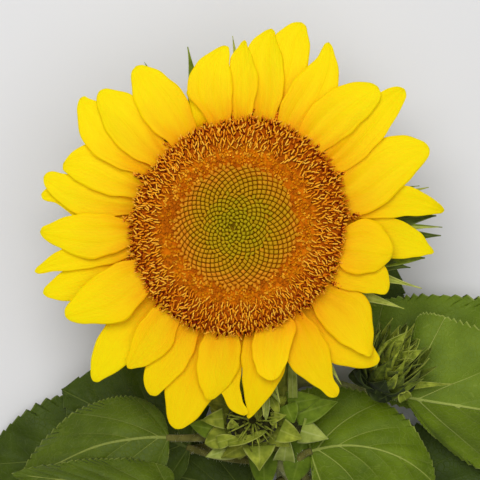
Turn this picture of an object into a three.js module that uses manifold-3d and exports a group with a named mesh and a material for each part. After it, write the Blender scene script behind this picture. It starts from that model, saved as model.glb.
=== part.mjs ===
// The flowering top of a sunflower plant, cut and laid on its back: an open head that faces straight up,
// the stem that bends away under it and runs along the floor towards -Y, two side buds and eleven leaves.
// Millimetres, +Z up, floor at z = 0. Heights and plan positions below are measured from the middle of the head;
// the last lines move the whole plant so that the middle of its box stands on the origin.
import * as THREE from "three";
import { mergeVertices } from "three/addons/utils/BufferGeometryUtils.js";
import Module from "manifold-3d";

const wasm = await Module();
wasm.setup();

// Driving dimensions of the head
const GAP = 0.4; // clearance between neighbouring solids
const DISC_RADIUS = 54.5; // floret disc, out to the tips of its stigmas
const COLLAR_RADIUS = 46.5; // side wall under the disc, which the rays grow from
const RECEPTACLE_BASE = 51; // height at which the stem's neck meets the back of the head
const RECEPTACLE_TOP = 79;
const DISC_UNDERSIDE = 93.3;
const DISC_TOP = 100;

// Rays lie on six levels, like shingles; level 0 is the front one
const FRONT_RAY_HEIGHT = 92;
const RAY_LEVEL_STEP = 2;
const RAY_THICKNESS = 1.5;
const ROOT_RADIUS = COLLAR_RADIUS + 1.2; // where the rays start
const RAY_SAG = 3; // drop of a full-length ray at its tip
const FULL_REACH = 102;

// Driving dimensions of the stem and the leaves
const CUT_RADIUS = 9.5; // stem at the cut
const NECK_RADIUS = 8;
const NECK_START = 0.76; // share of the stem's length at which it turns up into the neck
const NECK_GAP = 0.002; // share of it left open between stem and neck
const BLADE_THICKNESS = 1.6;
const PETIOLE_RADIUS = 2.4;
const FOOT_FLARE = 1.25; // a side shoot or leaf stalk is this much thicker where it leaves the stem

const material = (color, roughness) =>
  new THREE.MeshStandardMaterial({ color, roughness, metalness: 0 });
const RAY_YELLOW = material(0xffd20f, 0.55);
const DISC_BROWN = material(0xa8610f, 0.9);
const HEAD_GREEN = material(0x7d9148, 0.8);
const STEM_GREEN = material(0x8c9a6a, 0.75);
const BUD_GREEN = material(0x6f7f30, 0.8);
const BRACT_GREEN = material(0x8a9a45, 0.75);
const LEAF_GREEN = material(0x5a7a2c, 0.65);

const plant = new THREE.Group();
function add(name, geometry, finish, parent = plant) {
  const mesh = new THREE.Mesh(geometry, finish);
  mesh.name = name;
  parent.add(mesh);
  return mesh;
}

const vec = (x, y, z) => new THREE.Vector3(x, y, z);
const lerp = THREE.MathUtils.lerp;
const rad = THREE.MathUtils.degToRad;
const polar = (radius, degrees, z) =>
  vec(radius * Math.cos(rad(degrees)), radius * Math.sin(rad(degrees)), z);

// A closed skin over rings that run counter-clockwise about the way the rings advance. An open row of rings starts
// and ends on a single point each; a looped one joins its last ring to its first.
function loft(rings, looped = false) {
  const positions = [];
  const face = (...corners) => corners.forEach((p) => positions.push(p.x, p.y, p.z));
  const last = looped ? rings.length : rings.length - 1;
  for (let i = 0; i < last; i++) {
    const near = rings[i];
    const far = rings[(i + 1) % rings.length];
    const sides = Math.max(near.length, far.length);
    for (let j = 0; j < sides; j++) {
      const k = (j + 1) % sides;
      if (near.length === 1) face(near[0], far[k], far[j]);
      else if (far.length === 1) face(near[j], near[k], far[0]);
      else {
        face(near[j], near[k], far[k]);
        face(near[j], far[k], far[j]);
      }
    }
  }
  return new THREE.BufferGeometry().setAttribute(
    "position",
    new THREE.Float32BufferAttribute(positions, 3),
  );
}

// A round tapering limb along a curve, from share `from` to share `to` of its length
function limb(curve, radiusAt, { from = 0, to = 1, steps = 8, sides = 10 } = {}) {
  const rings = [];
  let side = vec(1, 0.1, 0.1); // carried from ring to ring, so that the skin doesn't twist
  for (let i = 0; i <= steps; i++) {
    const u = lerp(from, to, i / steps);
    const centre = curve.getPointAt(u);
    const tangent = curve.getTangentAt(u);
    side = side.clone().projectOnPlane(tangent).normalize();
    const top = tangent.clone().cross(side);
    rings.push(
      Array.from({ length: sides }, (_, k) => {
        const angle = (2 * Math.PI * k) / sides;
        return centre
          .clone()
          .addScaledVector(side, radiusAt(u) * Math.cos(angle))
          .addScaledVector(top, radiusAt(u) * Math.sin(angle));
      }),
    );
  }
  return loft([[curve.getPointAt(from)], ...rings, [curve.getPointAt(to)]]);
}

// A turned body about Z from a profile of [radius, height] pairs that starts and ends on the axis
function turned(profile, segments) {
  const points = profile.map(([r, z]) => new THREE.Vector2(r, z));
  return new THREE.LatheGeometry(points, segments).rotateX(Math.PI / 2);
}

function solid(geometry) {
  const bare = geometry.clone();
  for (const name of ["normal", "uv"]) bare.deleteAttribute(name);
  const merged = mergeVertices(bare, 1e-3);
  return new wasm.Manifold(
    new wasm.Mesh({
      numProp: 3,
      vertProperties: merged.attributes.position.array,
      triVerts: new Uint32Array(merged.index.array),
    }),
  );
}

function joined(first, second) {
  const mesh = solid(first).add(solid(second)).getMesh();
  const geometry = new THREE.BufferGeometry();
  geometry.setAttribute("position", new THREE.BufferAttribute(mesh.vertProperties, 3));
  return geometry.setIndex(new THREE.BufferAttribute(mesh.triVerts, 1));
}

// ---- Head: receptacle, floret disc, two rows of bracts -------------------------------------------------------

add(
  "receptacle",
  turned(
    [
      [0, RECEPTACLE_BASE],
      [NECK_RADIUS + 1.5, RECEPTACLE_BASE],
      [15, 55],
      [26, 60.5],
      [37, 66],
      [44, 71],
      [COLLAR_RADIUS, 76],
      [COLLAR_RADIUS, RECEPTACLE_TOP],
      [0, RECEPTACLE_TOP],
    ],
    24,
  ),
  HEAD_GREEN,
);

add(
  "disc",
  turned(
    [
      [0, RECEPTACLE_TOP + GAP],
      [COLLAR_RADIUS, RECEPTACLE_TOP + GAP],
      [COLLAR_RADIUS, DISC_UNDERSIDE],
      [DISC_RADIUS - 2, DISC_UNDERSIDE + 0.3],
      [DISC_RADIUS, 95.5],
      [DISC_RADIUS - 2.5, 98.8],
      [DISC_RADIUS - 9, DISC_TOP],
      [38, 98],
      [31, 96],
      [0, 95],
    ],
    28,
  ),
  DISC_BROWN,
);

// One row of bracts: a thin starry collar with a thick inner edge and a knife edge outside. Each bract is widest
// at its shoulders and runs out to a long point.
function bractRow({ count, inner, tip, low, high, tipHeight, turn = 0 }) {
  const outline = [
    [0, 0.14],
    [0.26, 0.5],
    [0.5, 1],
    [0.74, 0.5],
  ]; // share of a bract's pitch, share of its length
  const rings = [];
  for (let i = 0; i < count; i++) {
    for (const [across, along] of outline) {
      const angle = turn + (360 * (i + across)) / count;
      rings.push([
        polar(inner, angle, high),
        polar(lerp(inner, tip, along), angle, lerp((low + high) / 2, tipHeight, along)),
        polar(inner, angle, low),
      ]);
    }
  }
  return loft(rings, true);
}

add(
  "outer_bracts",
  bractRow({ count: 17, inner: 47.5, tip: 95, low: 70, high: 72.4, tipHeight: 71 }),
  BRACT_GREEN,
);
add(
  "inner_bracts",
  bractRow({ count: 17, inner: 47.5, tip: 93, low: 75, high: 77.4, tipHeight: 76.5, turn: 10.6 }),
  BRACT_GREEN,
);

// ---- Rays: thirty-four broad blades round the disc -----------------------------------------------------------
// Each row: level; direction of its tip and its distance from the middle of the head; half its width near the
// tip; then the directions of its left and of its right edge at the three EDGE_STATIONS of its length.
const RAYS = [
  [3, 4.2, 102.7, 2.7, [14, 15.5, 9.5], [3.3, 2.9, 3.1]],
  [2, 22.3, 102.2, 5.2, [27.6, 31.8, 28.7], [4.9, 10.7, 17.6]],
  [1, 39.7, 106.8, 4.1, [41.5, 44, 43.4], [27.7, 30.8, 35.6]],
  [0, 45.3, 97.4, 5.5, [59, 58, 52.4], [41.2, 40, 41.3]],
  [1, 64.3, 101.7, 2.9, [71.3, 69.7, 65.5], [55, 52.8, 58.7]],
  [3, 73.5, 106.7, 4.9, [79, 81, 79.7], [68, 66.8, 69.2]],
  [2, 81.2, 99.9, 3.3, [84.5, 88, 87.1], [72.3, 73.4, 78]],
  [1, 88.9, 92.7, 1.9, [95, 94.8, 92.8], [84.5, 83.3, 86.7]],
  [0, 95.3, 90.2, 4.7, [108, 112, 105.5], [95, 93.6, 94]],
  [4, 111, 73, 1.8, [114.5, 114, 112.5], [107.5, 108, 109.5]],
  [0, 123.6, 95.3, 4.5, [132, 132.6, 128.5], [114, 113.8, 118.4]],
  [1, 136.7, 97.8, 4.5, [147.3, 147.2, 142], [132, 128, 131.9]],
  [2, 141.8, 103.1, 4.3, [153.8, 154.9, 149.6], [143, 138.5, 139]],
  [3, 161, 94.7, 5.6, [166, 167, 164.5], [154, 151, 152]],
  [4, 166.3, 102.6, 4.7, [175, 177.5, 172], [164, 162, 163.9]],
  [5, 171.3, 102.3, 3.3, [179.5, 180.5, 173.2], [168, 167, 168]],
  [2, 182, 101.1, 3.6, [191.2, 192.8, 186.8], [177, 175.5, 178.5]],
  [3, 192.7, 106.6, 2.2, [196.3, 195.9, 194], [187, 185.5, 189.4]],
  [4, 199, 105.7, 3.5, [205, 206.5, 203.4], [194, 193, 195.5]],
  [0, 207.6, 99.2, 4.4, [216.5, 219.3, 212.7], [197.5, 199, 203.3]],
  [3, 226.4, 108.4, 3.8, [228, 231.5, 229.3], [216, 215.5, 220.9]],
  [1, 231.7, 91.5, 2.7, [237.5, 240.1, 236], [224, 224.3, 228.5]],
  [2, 242, 96.8, 4.2, [248.6, 249.1, 245.4], [238, 235.3, 236.9]],
  [3, 252.2, 107.9, 5, [257.5, 262, 257.5], [247, 243.5, 247.3]],
  [1, 259.5, 89.2, 3.1, [269, 269.3, 264.6], [252, 251.8, 255.6]],
  [2, 270.9, 95.7, 4, [271, 270.1, 270.5], [262, 260, 264.7]],
  [3, 272.2, 97.5, 1.9, [293, 287.2, 277.7], [271, 270.4, 271.5]],
  [0, 281.5, 79, 4, [299, 292.8, 287], [277, 275, 276.7]],
  [1, 299, 98.6, 3.4, [306, 305.5, 301.1], [290.5, 289.2, 295.5]],
  [3, 314.6, 98.1, 4.5, [318, 319.5, 317.4], [303, 301, 307.6]],
  [2, 314.8, 92.2, 2.9, [328, 330.2, 321], [310.3, 309.4, 312.3]],
  [1, 336, 80.8, 4.2, [342, 346, 343.7], [327.4, 329.7, 333]],
  [0, 349.5, 77.2, 5.1, [360, 363, 357], [337, 337.2, 342.3]],
  [4, 352, 98.4, 2.3, [363.5, 363, 357.4], [348, 347.3, 349.8]],
];
const EDGE_STATIONS = [0.22, 0.55, 0.85];
const NEAR_TIP = 0.95;
const RING_STATIONS = [0, 0.06, 0.13, 0.22, 0.36, 0.55, 0.72, 0.85, 0.94, 0.98];
const CLAW_SHARE = 0.3; // width of a ray's root, as a share of its width at the first of the edge stations
const roundEnd = (t) => Math.sqrt(1 - t ** 10); // closes the outline round the tip

// A smooth function that takes these values at these stations
function through(stations, values) {
  const curve = new THREE.CubicInterpolant(stations, values, 1, new Float64Array(1));
  return (t) => curve.evaluate(t)[0];
}

function ray([level, direction, reach, nearTip, left, right]) {
  const radius = (t) => lerp(ROOT_RADIUS, reach, t);
  const middles = left.map((edge, i) => (edge + right[i]) / 2);
  const halves = left.map((edge, i) => (rad(edge - right[i]) / 2) * radius(EDGE_STATIONS[i]));
  const middle = through([0, ...EDGE_STATIONS, 1], [middles[0], ...middles, direction]);
  const tipHalf = nearTip / roundEnd(NEAR_TIP);
  const half = through(
    [0, ...EDGE_STATIONS, NEAR_TIP, 1],
    [CLAW_SHARE * halves[0], ...halves.map((h, i) => h / roundEnd(EDGE_STATIONS[i])), tipHalf, tipHalf],
  );
  const at = (t, degrees, rise) => {
    const sag = RAY_SAG * ((radius(t) - COLLAR_RADIUS) / (FULL_REACH - COLLAR_RADIUS)) ** 2;
    return polar(radius(t), degrees, FRONT_RAY_HEIGHT - RAY_LEVEL_STEP * level - sag + rise);
  };
  const rings = RING_STATIONS.map((t) => {
    const wide = THREE.MathUtils.radToDeg((half(t) * roundEnd(t)) / radius(t));
    return [
      at(t, middle(t) + wide, 0),
      at(t, middle(t), RAY_THICKNESS / 2),
      at(t, middle(t) - wide, 0),
      at(t, middle(t), -RAY_THICKNESS / 2),
    ];
  });
  return loft([[at(0, middle(0), 0)], ...rings, [at(1, direction, 0)]]);
}

RAYS.forEach((row, i) => add(`ray_${String(i + 1).padStart(2, "0")}`, ray(row), RAY_YELLOW));

// ---- Stem and neck -------------------------------------------------------------------------------------------
// From the flat cut, along the floor, to the neck that turns up into the back of the head

const stemLine = new THREE.CatmullRomCurve3([
  vec(34, -208, CUT_RADIUS),
  vec(31, -160, 9.3),
  vec(27, -120, 9.1),
  vec(21, -84, 8.9),
  vec(13, -52, 9.2),
  vec(6, -25, 15.5),
  vec(1, -6, 29),
  vec(0, -0.5, 42),
  vec(0, 0, RECEPTACLE_BASE - 1),
]);
const stemRadius = (u) => lerp(CUT_RADIUS, NECK_RADIUS, u);

add("stem", limb(stemLine, stemRadius, { to: NECK_START, steps: 10, sides: 12 }), STEM_GREEN);
add("neck", limb(stemLine, stemRadius, { from: NECK_START + NECK_GAP, steps: 8, sides: 12 }), STEM_GREEN);

// A point just off the stem's skin at share u of its length. `around` is the direction it faces, in degrees seen
// from the cut end: 0 is the right, 90 the top, 180 the left.
function stemNode(u, around) {
  const tangent = stemLine.getTangentAt(u);
  const right = tangent.clone().cross(vec(0, 0, 1)).normalize();
  const top = right.clone().cross(tangent);
  const outward = right.multiplyScalar(Math.cos(rad(around))).addScaledVector(top, Math.sin(rad(around)));
  const at = stemLine.getPointAt(u).addScaledVector(outward, stemRadius(u) + GAP);
  return { at, outward };
}

// A side shoot or leaf stalk: it leaves the stem square to its skin and arrives along `arriving`
function stalkLine(node, end, arriving, bow) {
  return new THREE.CubicBezierCurve3(
    node.at,
    node.at.clone().addScaledVector(node.outward, bow),
    end.clone().addScaledVector(arriving, -bow),
    end,
  );
}

// ---- Side buds: a round core with two rows of bracts, on a stalk ---------------------------------------------

function bud(name, { place, lean, core, outer, inner, node, bow, stalkRadius }) {
  const group = new THREE.Group();
  group.position.copy(place);
  group.quaternion.setFromUnitVectors(vec(0, 0, 1), lean);
  plant.add(group);
  const [r, h] = core;
  add(
    `${name}_core`,
    turned(
      [
        [0, 0],
        [0.5 * r, 0],
        [0.86 * r, 0.14 * h],
        [r, 0.36 * h],
        [r, 0.62 * h],
        [0.8 * r, 0.84 * h],
        [0.45 * r, h],
        [0, h],
      ],
      14,
    ),
    BUD_GREEN,
    group,
  );
  add(`${name}_outer_bracts`, bractRow(outer), BRACT_GREEN, group);
  add(`${name}_inner_bracts`, bractRow(inner), BRACT_GREEN, group);
  const end = place.clone().addScaledVector(lean, -GAP);
  const line = stalkLine(node, end, lean, bow);
  add(`${name}_stalk`, limb(line, (u) => lerp(FOOT_FLARE, 1, u) * stalkRadius, { sides: 8 }), STEM_GREEN);
}

// The lower bud has begun to open, with its bracts spread wide round a dark middle
bud("front_bud", {
  place: vec(6, -100, 46),
  lean: vec(0, 0, 1),
  core: [14.5, 23],
  outer: { count: 10, inner: 15.2, tip: 37, low: 3, high: 5.2, tipHeight: 9 },
  inner: { count: 10, inner: 15.2, tip: 28, low: 9, high: 11, tipHeight: 18, turn: 18 },
  node: stemNode(0.33, 95),
  bow: 26,
  stalkRadius: 3.6,
});

// The right-hand bud is still closing its bracts round it, and nods up and to the right
bud("right_bud", {
  place: vec(73, -82, 41),
  lean: vec(0.36, 0.66, 0.66).normalize(),
  core: [10.5, 24],
  outer: { count: 9, inner: 11.1, tip: 19, low: 3, high: 4.8, tipHeight: 22 },
  inner: { count: 9, inner: 11.1, tip: 15, low: 9.5, high: 11, tipHeight: 32, turn: 20 },
  node: stemNode(0.53, 12),
  bow: 20,
  stalkRadius: 2.8,
});

// ---- Leaves: a heart-shaped blade with its stalk, as one solid -----------------------------------------------
// The midrib leaves `base` along `heading` (degrees in plan from +X) and `rise` (degrees up), and changes by `turn`
// and `droop` along its length. `roll` tips the blade about its midrib, left side up, and `fold` lifts both halves.

const MIDRIB_STEPS = 24;
function bladeSurface({ base, heading, rise, turn = 0, droop = 0, roll = 0, fold = 0, length }) {
  const headingAt = (t) => ({
    azimuth: rad(heading + turn * t),
    slope: rad(rise + droop * t),
  });
  const frame = (t) => {
    const { azimuth, slope } = headingAt(t);
    const ahead = vec(
      Math.cos(slope) * Math.cos(azimuth),
      Math.cos(slope) * Math.sin(azimuth),
      Math.sin(slope),
    );
    const left = vec(-Math.sin(azimuth), Math.cos(azimuth), 0);
    const up = ahead.clone().cross(left);
    return {
      ahead,
      left: left.clone().multiplyScalar(Math.cos(rad(roll))).addScaledVector(up, Math.sin(rad(roll))),
      up: up.clone().multiplyScalar(Math.cos(rad(roll))).addScaledVector(left, -Math.sin(rad(roll))),
    };
  };
  const midrib = [base.clone()];
  for (let i = 0; i < MIDRIB_STEPS; i++) {
    const { ahead } = frame((i + 0.5) / MIDRIB_STEPS);
    midrib.push(midrib[i].clone().addScaledVector(ahead, length / MIDRIB_STEPS));
  }
  return (along, across, lift = 0) => {
    const t = THREE.MathUtils.clamp(along / length, 0, 1);
    const step = Math.min(Math.floor(t * MIDRIB_STEPS), MIDRIB_STEPS - 1);
    const { ahead, left, up } = frame(t);
    return midrib[step]
      .clone()
      .lerp(midrib[step + 1], t * MIDRIB_STEPS - step)
      .addScaledVector(ahead, Math.min(along, 0))
      .addScaledVector(left, across * Math.cos(rad(fold)))
      .addScaledVector(up, Math.abs(across) * Math.sin(rad(fold)) + lift);
  };
}

// The margin of one half of a heart-shaped blade at share s of its length: how far along and across it lies.
// `foot` is low where the half is square at its foot, and `lobe` is how far it reaches back past the stalk, as a
// share of the length. LOBE_FACTOR brings the lobe's curve to a greatest value of 1.
const LOBE_FACTOR = 4.8;
const TIP_POWER = 0.9;
function bladeMargin(s, length, { width, foot = 0.5, lobe = 0.1 }) {
  const widest = foot / (foot + TIP_POWER);
  return {
    along: length * (s - lobe * LOBE_FACTOR * Math.sqrt(s) * (1 - s) ** 4),
    across: width * (s / widest) ** foot * ((1 - s) / (1 - widest)) ** TIP_POWER,
  };
}

const BLADE_STATIONS = [0.04, 0.14, 0.28, 0.44, 0.6, 0.76, 0.9];
const QUARTER_LIFT = 0.75; // thickness half-way to the margin, as a share of that at the midrib
const STALK_OVERLAP = 0.06; // share of the blade's length that its stalk runs on into it
function leaf(name, shape) {
  const at = bladeSurface(shape);
  const thick = BLADE_THICKNESS / 2;
  const quarterThick = thick * QUARTER_LIFT;
  const rows = BLADE_STATIONS.map((s) => {
    const left = bladeMargin(s, shape.length, shape.left);
    const right = bladeMargin(s, shape.length, shape.right);
    const spine = s * shape.length;
    const leftQuarter = (left.along + spine) / 2;
    const rightQuarter = (right.along + spine) / 2;
    return [
      at(left.along, left.across),
      at(leftQuarter, left.across / 2, quarterThick),
      at(spine, 0, thick),
      at(rightQuarter, -right.across / 2, quarterThick),
      at(right.along, -right.across),
      at(rightQuarter, -right.across / 2, -quarterThick),
      at(spine, 0, -thick),
      at(leftQuarter, left.across / 2, -quarterThick),
    ];
  });
  const blade = loft([[at(0, 0)], ...rows, [at(shape.length, 0)]]);
  const end = at(STALK_OVERLAP * shape.length, 0);
  const arriving = at(1, 0).sub(at(0, 0)).normalize();
  const line = stalkLine(shape.node, end, arriving, shape.bow);
  const stalk = limb(line, (u) => PETIOLE_RADIUS * lerp(FOOT_FLARE, 0.8, u), { steps: 7, sides: 7 });
  add(name, joined(blade, stalk), LEAF_GREEN);
}

leaf("leaf_left_front", {
  base: vec(-37.5, -110, 56),
  heading: 176, turn: 52, rise: 4, droop: -14, roll: 20, fold: -15,
  length: 90, left: { width: 26, foot: 0.4, lobe: 0.04 }, right: { width: 26.5, foot: 0.35, lobe: -0.03 },
  node: stemNode(0.44, 150), bow: 24,
});
leaf("leaf_left_low", {
  base: vec(-36, -137, 73),
  heading: 172, turn: 2, rise: 4, droop: -12, roll: 15, fold: -30,
  length: 82, left: { width: 15 }, right: { width: 19, foot: 0.3, lobe: 0.05 },
  node: stemNode(0.3, 140), bow: 28,
});
leaf("leaf_right_front", {
  base: vec(36, -118, 47),
  heading: 20, turn: -70, rise: 14, droop: -30, roll: -8, fold: -14,
  length: 73, left: { width: 35.5, foot: 0.2, lobe: 0.06 }, right: { width: 32, foot: 0.4, lobe: 0.08 },
  node: stemNode(0.3, 60), bow: 20,
});
leaf("leaf_right", {
  base: vec(86, -90, 40),
  heading: -10, turn: 6, rise: 8, droop: -24, roll: 16, fold: -22,
  length: 128, left: { width: 49, foot: 0.12, lobe: 0.07 }, right: { width: 45, foot: 0.9, lobe: 0 },
  node: stemNode(0.44, 20), bow: 22,
});
leaf("leaf_right_back", {
  base: vec(70, -66, 22),
  heading: 2, turn: 4, rise: 4, droop: -25, roll: -6, fold: -4,
  length: 120, left: { width: 28, foot: 0.35 }, right: { width: 34 },
  node: stemNode(0.58, 5), bow: 16,
});
leaf("leaf_under_head_right", {
  base: vec(50, -57, 11),
  heading: 66, turn: -4, rise: 2, droop: -22, roll: 0, fold: -8,
  length: 60, left: { width: 28 }, right: { width: 32 },
  node: stemNode(0.69, -10), bow: 8,
});
leaf("leaf_under_head_left", {
  base: vec(-22, 2, 24),
  heading: 132, turn: 6, rise: -8, droop: -22, roll: 0, fold: -8,
  length: 72, left: { width: 26 }, right: { width: 26 },
  node: stemNode(0.86, 175), bow: 8,
});
leaf("leaf_left_back", {
  base: vec(-28, -118, 27),
  heading: 158, turn: -4, rise: 6, droop: -24, roll: 4, fold: -8,
  length: 76, left: { width: 30 }, right: { width: 46 },
  node: stemNode(0.36, 178), bow: 16,
});
leaf("leaf_far_left", {
  base: vec(-50, -124, 17),
  heading: 181, turn: 6, rise: 2, droop: -22, roll: 3, fold: -5,
  length: 96, left: { width: 36 }, right: { width: 37 },
  node: stemNode(0.42, 190), bow: 16,
});
leaf("leaf_low_right", {
  base: vec(78, -140, 10),
  heading: -4, turn: -6, rise: 2, droop: -12, roll: 0, fold: -6,
  length: 106, left: { width: 25 }, right: { width: 30 },
  node: stemNode(0.26, 0), bow: 16,
});
leaf("leaf_low_left", {
  base: vec(6, -146, 6),
  heading: 165, turn: 4, rise: 0, droop: -4, roll: 0, fold: -4,
  length: 84, left: { width: 28 }, right: { width: 28 },
  node: stemNode(0.24, 180), bow: 6,
});

// The plant stands with the middle of its box on the origin and its underside at z = 0
plant.updateMatrixWorld(true);
const extent = new THREE.Box3().setFromObject(plant, true);
const middle = extent.getCenter(vec(0, 0, 0));
plant.position.set(-middle.x, -middle.y, -extent.min.z);

const sunflower = new THREE.Group();
sunflower.add(plant);
export default sunflower;
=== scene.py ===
import math

import bpy
import numpy as np
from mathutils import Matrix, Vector


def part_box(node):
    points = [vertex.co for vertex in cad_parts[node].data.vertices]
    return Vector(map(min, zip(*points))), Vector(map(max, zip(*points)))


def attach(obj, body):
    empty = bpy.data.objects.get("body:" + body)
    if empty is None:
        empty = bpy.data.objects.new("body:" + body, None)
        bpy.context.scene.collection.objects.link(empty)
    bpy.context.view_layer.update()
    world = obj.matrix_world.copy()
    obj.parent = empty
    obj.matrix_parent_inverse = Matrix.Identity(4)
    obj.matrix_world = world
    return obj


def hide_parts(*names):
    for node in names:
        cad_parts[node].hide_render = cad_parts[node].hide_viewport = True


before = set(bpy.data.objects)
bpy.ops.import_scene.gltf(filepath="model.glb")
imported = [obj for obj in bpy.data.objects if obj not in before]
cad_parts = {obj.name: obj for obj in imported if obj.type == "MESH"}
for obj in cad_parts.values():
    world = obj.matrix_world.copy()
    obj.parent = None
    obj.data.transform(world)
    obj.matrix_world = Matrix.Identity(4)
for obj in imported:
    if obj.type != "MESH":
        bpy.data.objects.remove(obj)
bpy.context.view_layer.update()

# ---- The floor, the light and the camera ----
# The plant lies on its back on a plain pale floor, under two large soft lamps. The camera looks straight
# down on the open flower head, from a metre above its face.

MM = 0.001
disc_low, disc_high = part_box("disc")
HEAD = np.array([(disc_low.x + disc_high.x) / 2, (disc_low.y + disc_high.y) / 2, 0])
FACE_HEIGHT = disc_high.z - 8 * MM  # the front rays' height
VIEW_WIDTH = 240 * MM
VIEW_DISTANCE = 1.0
VIEW_SHIFT = (-0.5 * MM, -7.5 * MM)  # from the middle of the head to the middle of the view
SENSOR = 36
LAMPS = (  # name, place over the head and width in metres, watts
    ("key_lamp", (-0.2, 0.45, 1.2), 0.75, 9.0),
    ("fill_lamp", (0.3, -0.1, 1.5), 1.3, 7.5),
)
SKY_STRENGTH = 0.34
FLOOR_WIDTH = 6

bpy.ops.object.select_all(action="DESELECT")
eye = HEAD + (*VIEW_SHIFT, FACE_HEIGHT + VIEW_DISTANCE)
bpy.ops.object.camera_add(location=tuple(eye), rotation=(0, 0, 0))
camera = bpy.context.object
camera.data.sensor_width = SENSOR
camera.data.lens = SENSOR * VIEW_DISTANCE / VIEW_WIDTH
bpy.context.scene.camera = camera
bpy.context.scene.view_settings.view_transform = "Standard"


def rgb(red, green, blue):
    """A colour of 0 to 255 steps, as the shader's linear light."""
    steps = np.array([red, green, blue]) / 255
    linear = np.where(steps <= 0.04045, steps / 12.92, ((steps + 0.055) / 1.055) ** 2.4)
    return (*linear.tolist(), 1.0)


for lamp_name, offset, width, power in LAMPS:
    bpy.ops.object.light_add(type="AREA", location=Vector(HEAD) + Vector(offset))
    lamp = bpy.context.object
    lamp.name = lamp_name
    lamp.rotation_euler = (-Vector(offset)).to_track_quat("-Z", "Y").to_euler()
    lamp.data.size = width
    lamp.data.energy = power

world = bpy.data.worlds.new("studio")
world.use_nodes = True
sky = world.node_tree.nodes["Background"].inputs
sky["Color"].default_value = rgb(243, 243, 246)
sky["Strength"].default_value = SKY_STRENGTH
bpy.context.scene.world = world

bpy.ops.mesh.primitive_plane_add(size=FLOOR_WIDTH)
floor = bpy.context.object
floor.name = "floor"
paint = bpy.data.materials.new("floor_paint")
paint.use_nodes = True
paint_sockets = paint.node_tree.nodes["Principled BSDF"].inputs
paint_sockets["Base Color"].default_value = rgb(225, 225, 225)
paint_sockets["Roughness"].default_value = 0.9
floor.data.materials.append(paint)

# ---- Rays: the yellow blades round the head ----
# Each is a strap of soft yellow tissue, under half a millimetre thick, that grows from the rim under the
# florets. It is gathered and channelled at its root and flat and faintly pleated further out, and its
# neighbours overlap it.

RAY_CELLS = (46, 20)
RAY_THICKNESS = 0.4 * MM
RAY_COLOURS = (  # share of the length, colour
    (0.0, rgb(238, 148, 0)),
    (0.14, rgb(248, 174, 0)),
    (0.3, rgb(254, 199, 0)),
    (0.55, rgb(255, 214, 0)),
    (1.0, rgb(255, 223, 2)),
)


def points_of(piece):
    flat = np.empty(len(piece.data.vertices) * 3)
    piece.data.vertices.foreach_get("co", flat)
    return flat.reshape(-1, 3)


def move_points(piece, points):
    piece.data.vertices.foreach_set("co", points.ravel())


def unit(ways):
    return ways / np.linalg.norm(ways, axis=-1, keepdims=True)


def choose(*pieces):
    """Selects these pieces alone and makes the first one active."""
    bpy.ops.object.select_all(action="DESELECT")
    for piece in pieces:
        piece.select_set(True)
    bpy.context.view_layer.objects.active = pieces[0]


def grown(name, cells, surface, marks=None):
    """A sheet of cells[0] by cells[1] cells. surface(t, s) gives its points in millimetres from the head's
    middle; t runs from 0 to 1 along it and s from -1 to 1 across. Where edges meet, they are welded."""
    bpy.ops.object.select_all(action="DESELECT")
    bpy.ops.mesh.primitive_grid_add(x_subdivisions=cells[0], y_subdivisions=cells[1], size=2)
    piece = bpy.context.object
    piece.name = piece.data.name = name
    grid = points_of(piece)
    t, s = (grid[:, 0] + 1) / 2, grid[:, 1]
    move_points(piece, surface(t, s) * MM + HEAD)
    for mark, values in (marks(t, s) if marks else {}).items():
        piece.data.attributes.new(mark, "FLOAT", "POINT").data.foreach_set("value", values)
    bpy.ops.object.mode_set(mode="EDIT")
    bpy.ops.mesh.select_all(action="SELECT")
    bpy.ops.mesh.remove_doubles(threshold=0.01 * MM)
    bpy.ops.mesh.normals_make_consistent(inside=False)
    bpy.ops.object.mode_set(mode="OBJECT")
    return piece


def thicken(piece, thickness, offset=-1, back=0):
    """Gives a sheet its thickness, downwards or to both sides; back=1 gives its back the next material."""
    wall = piece.modifiers.new("wall", "SOLIDIFY")
    wall.thickness = thickness
    wall.offset = offset
    wall.material_offset = back
    choose(piece)
    bpy.ops.object.modifier_apply(modifier=wall.name)


def fitted(piece, slot, node, *materials):
    """Finishes a piece: its materials, the body that it rides, and any node that it replaces. slot is not
    used.
    """
    piece.data.polygons.foreach_set("use_smooth", np.ones(len(piece.data.polygons), bool))
    piece.data.materials.clear()
    for material in materials:
        piece.data.materials.append(material)
    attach(piece, "root")
    if node:
        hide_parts(node)


def give(socket, value):
    """Links a Tap to a socket, or sets the socket to a plain value."""
    if isinstance(value, Tap):
        value.material.node_tree.links.new(value.socket, socket)
    else:
        socket.default_value = value


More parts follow.
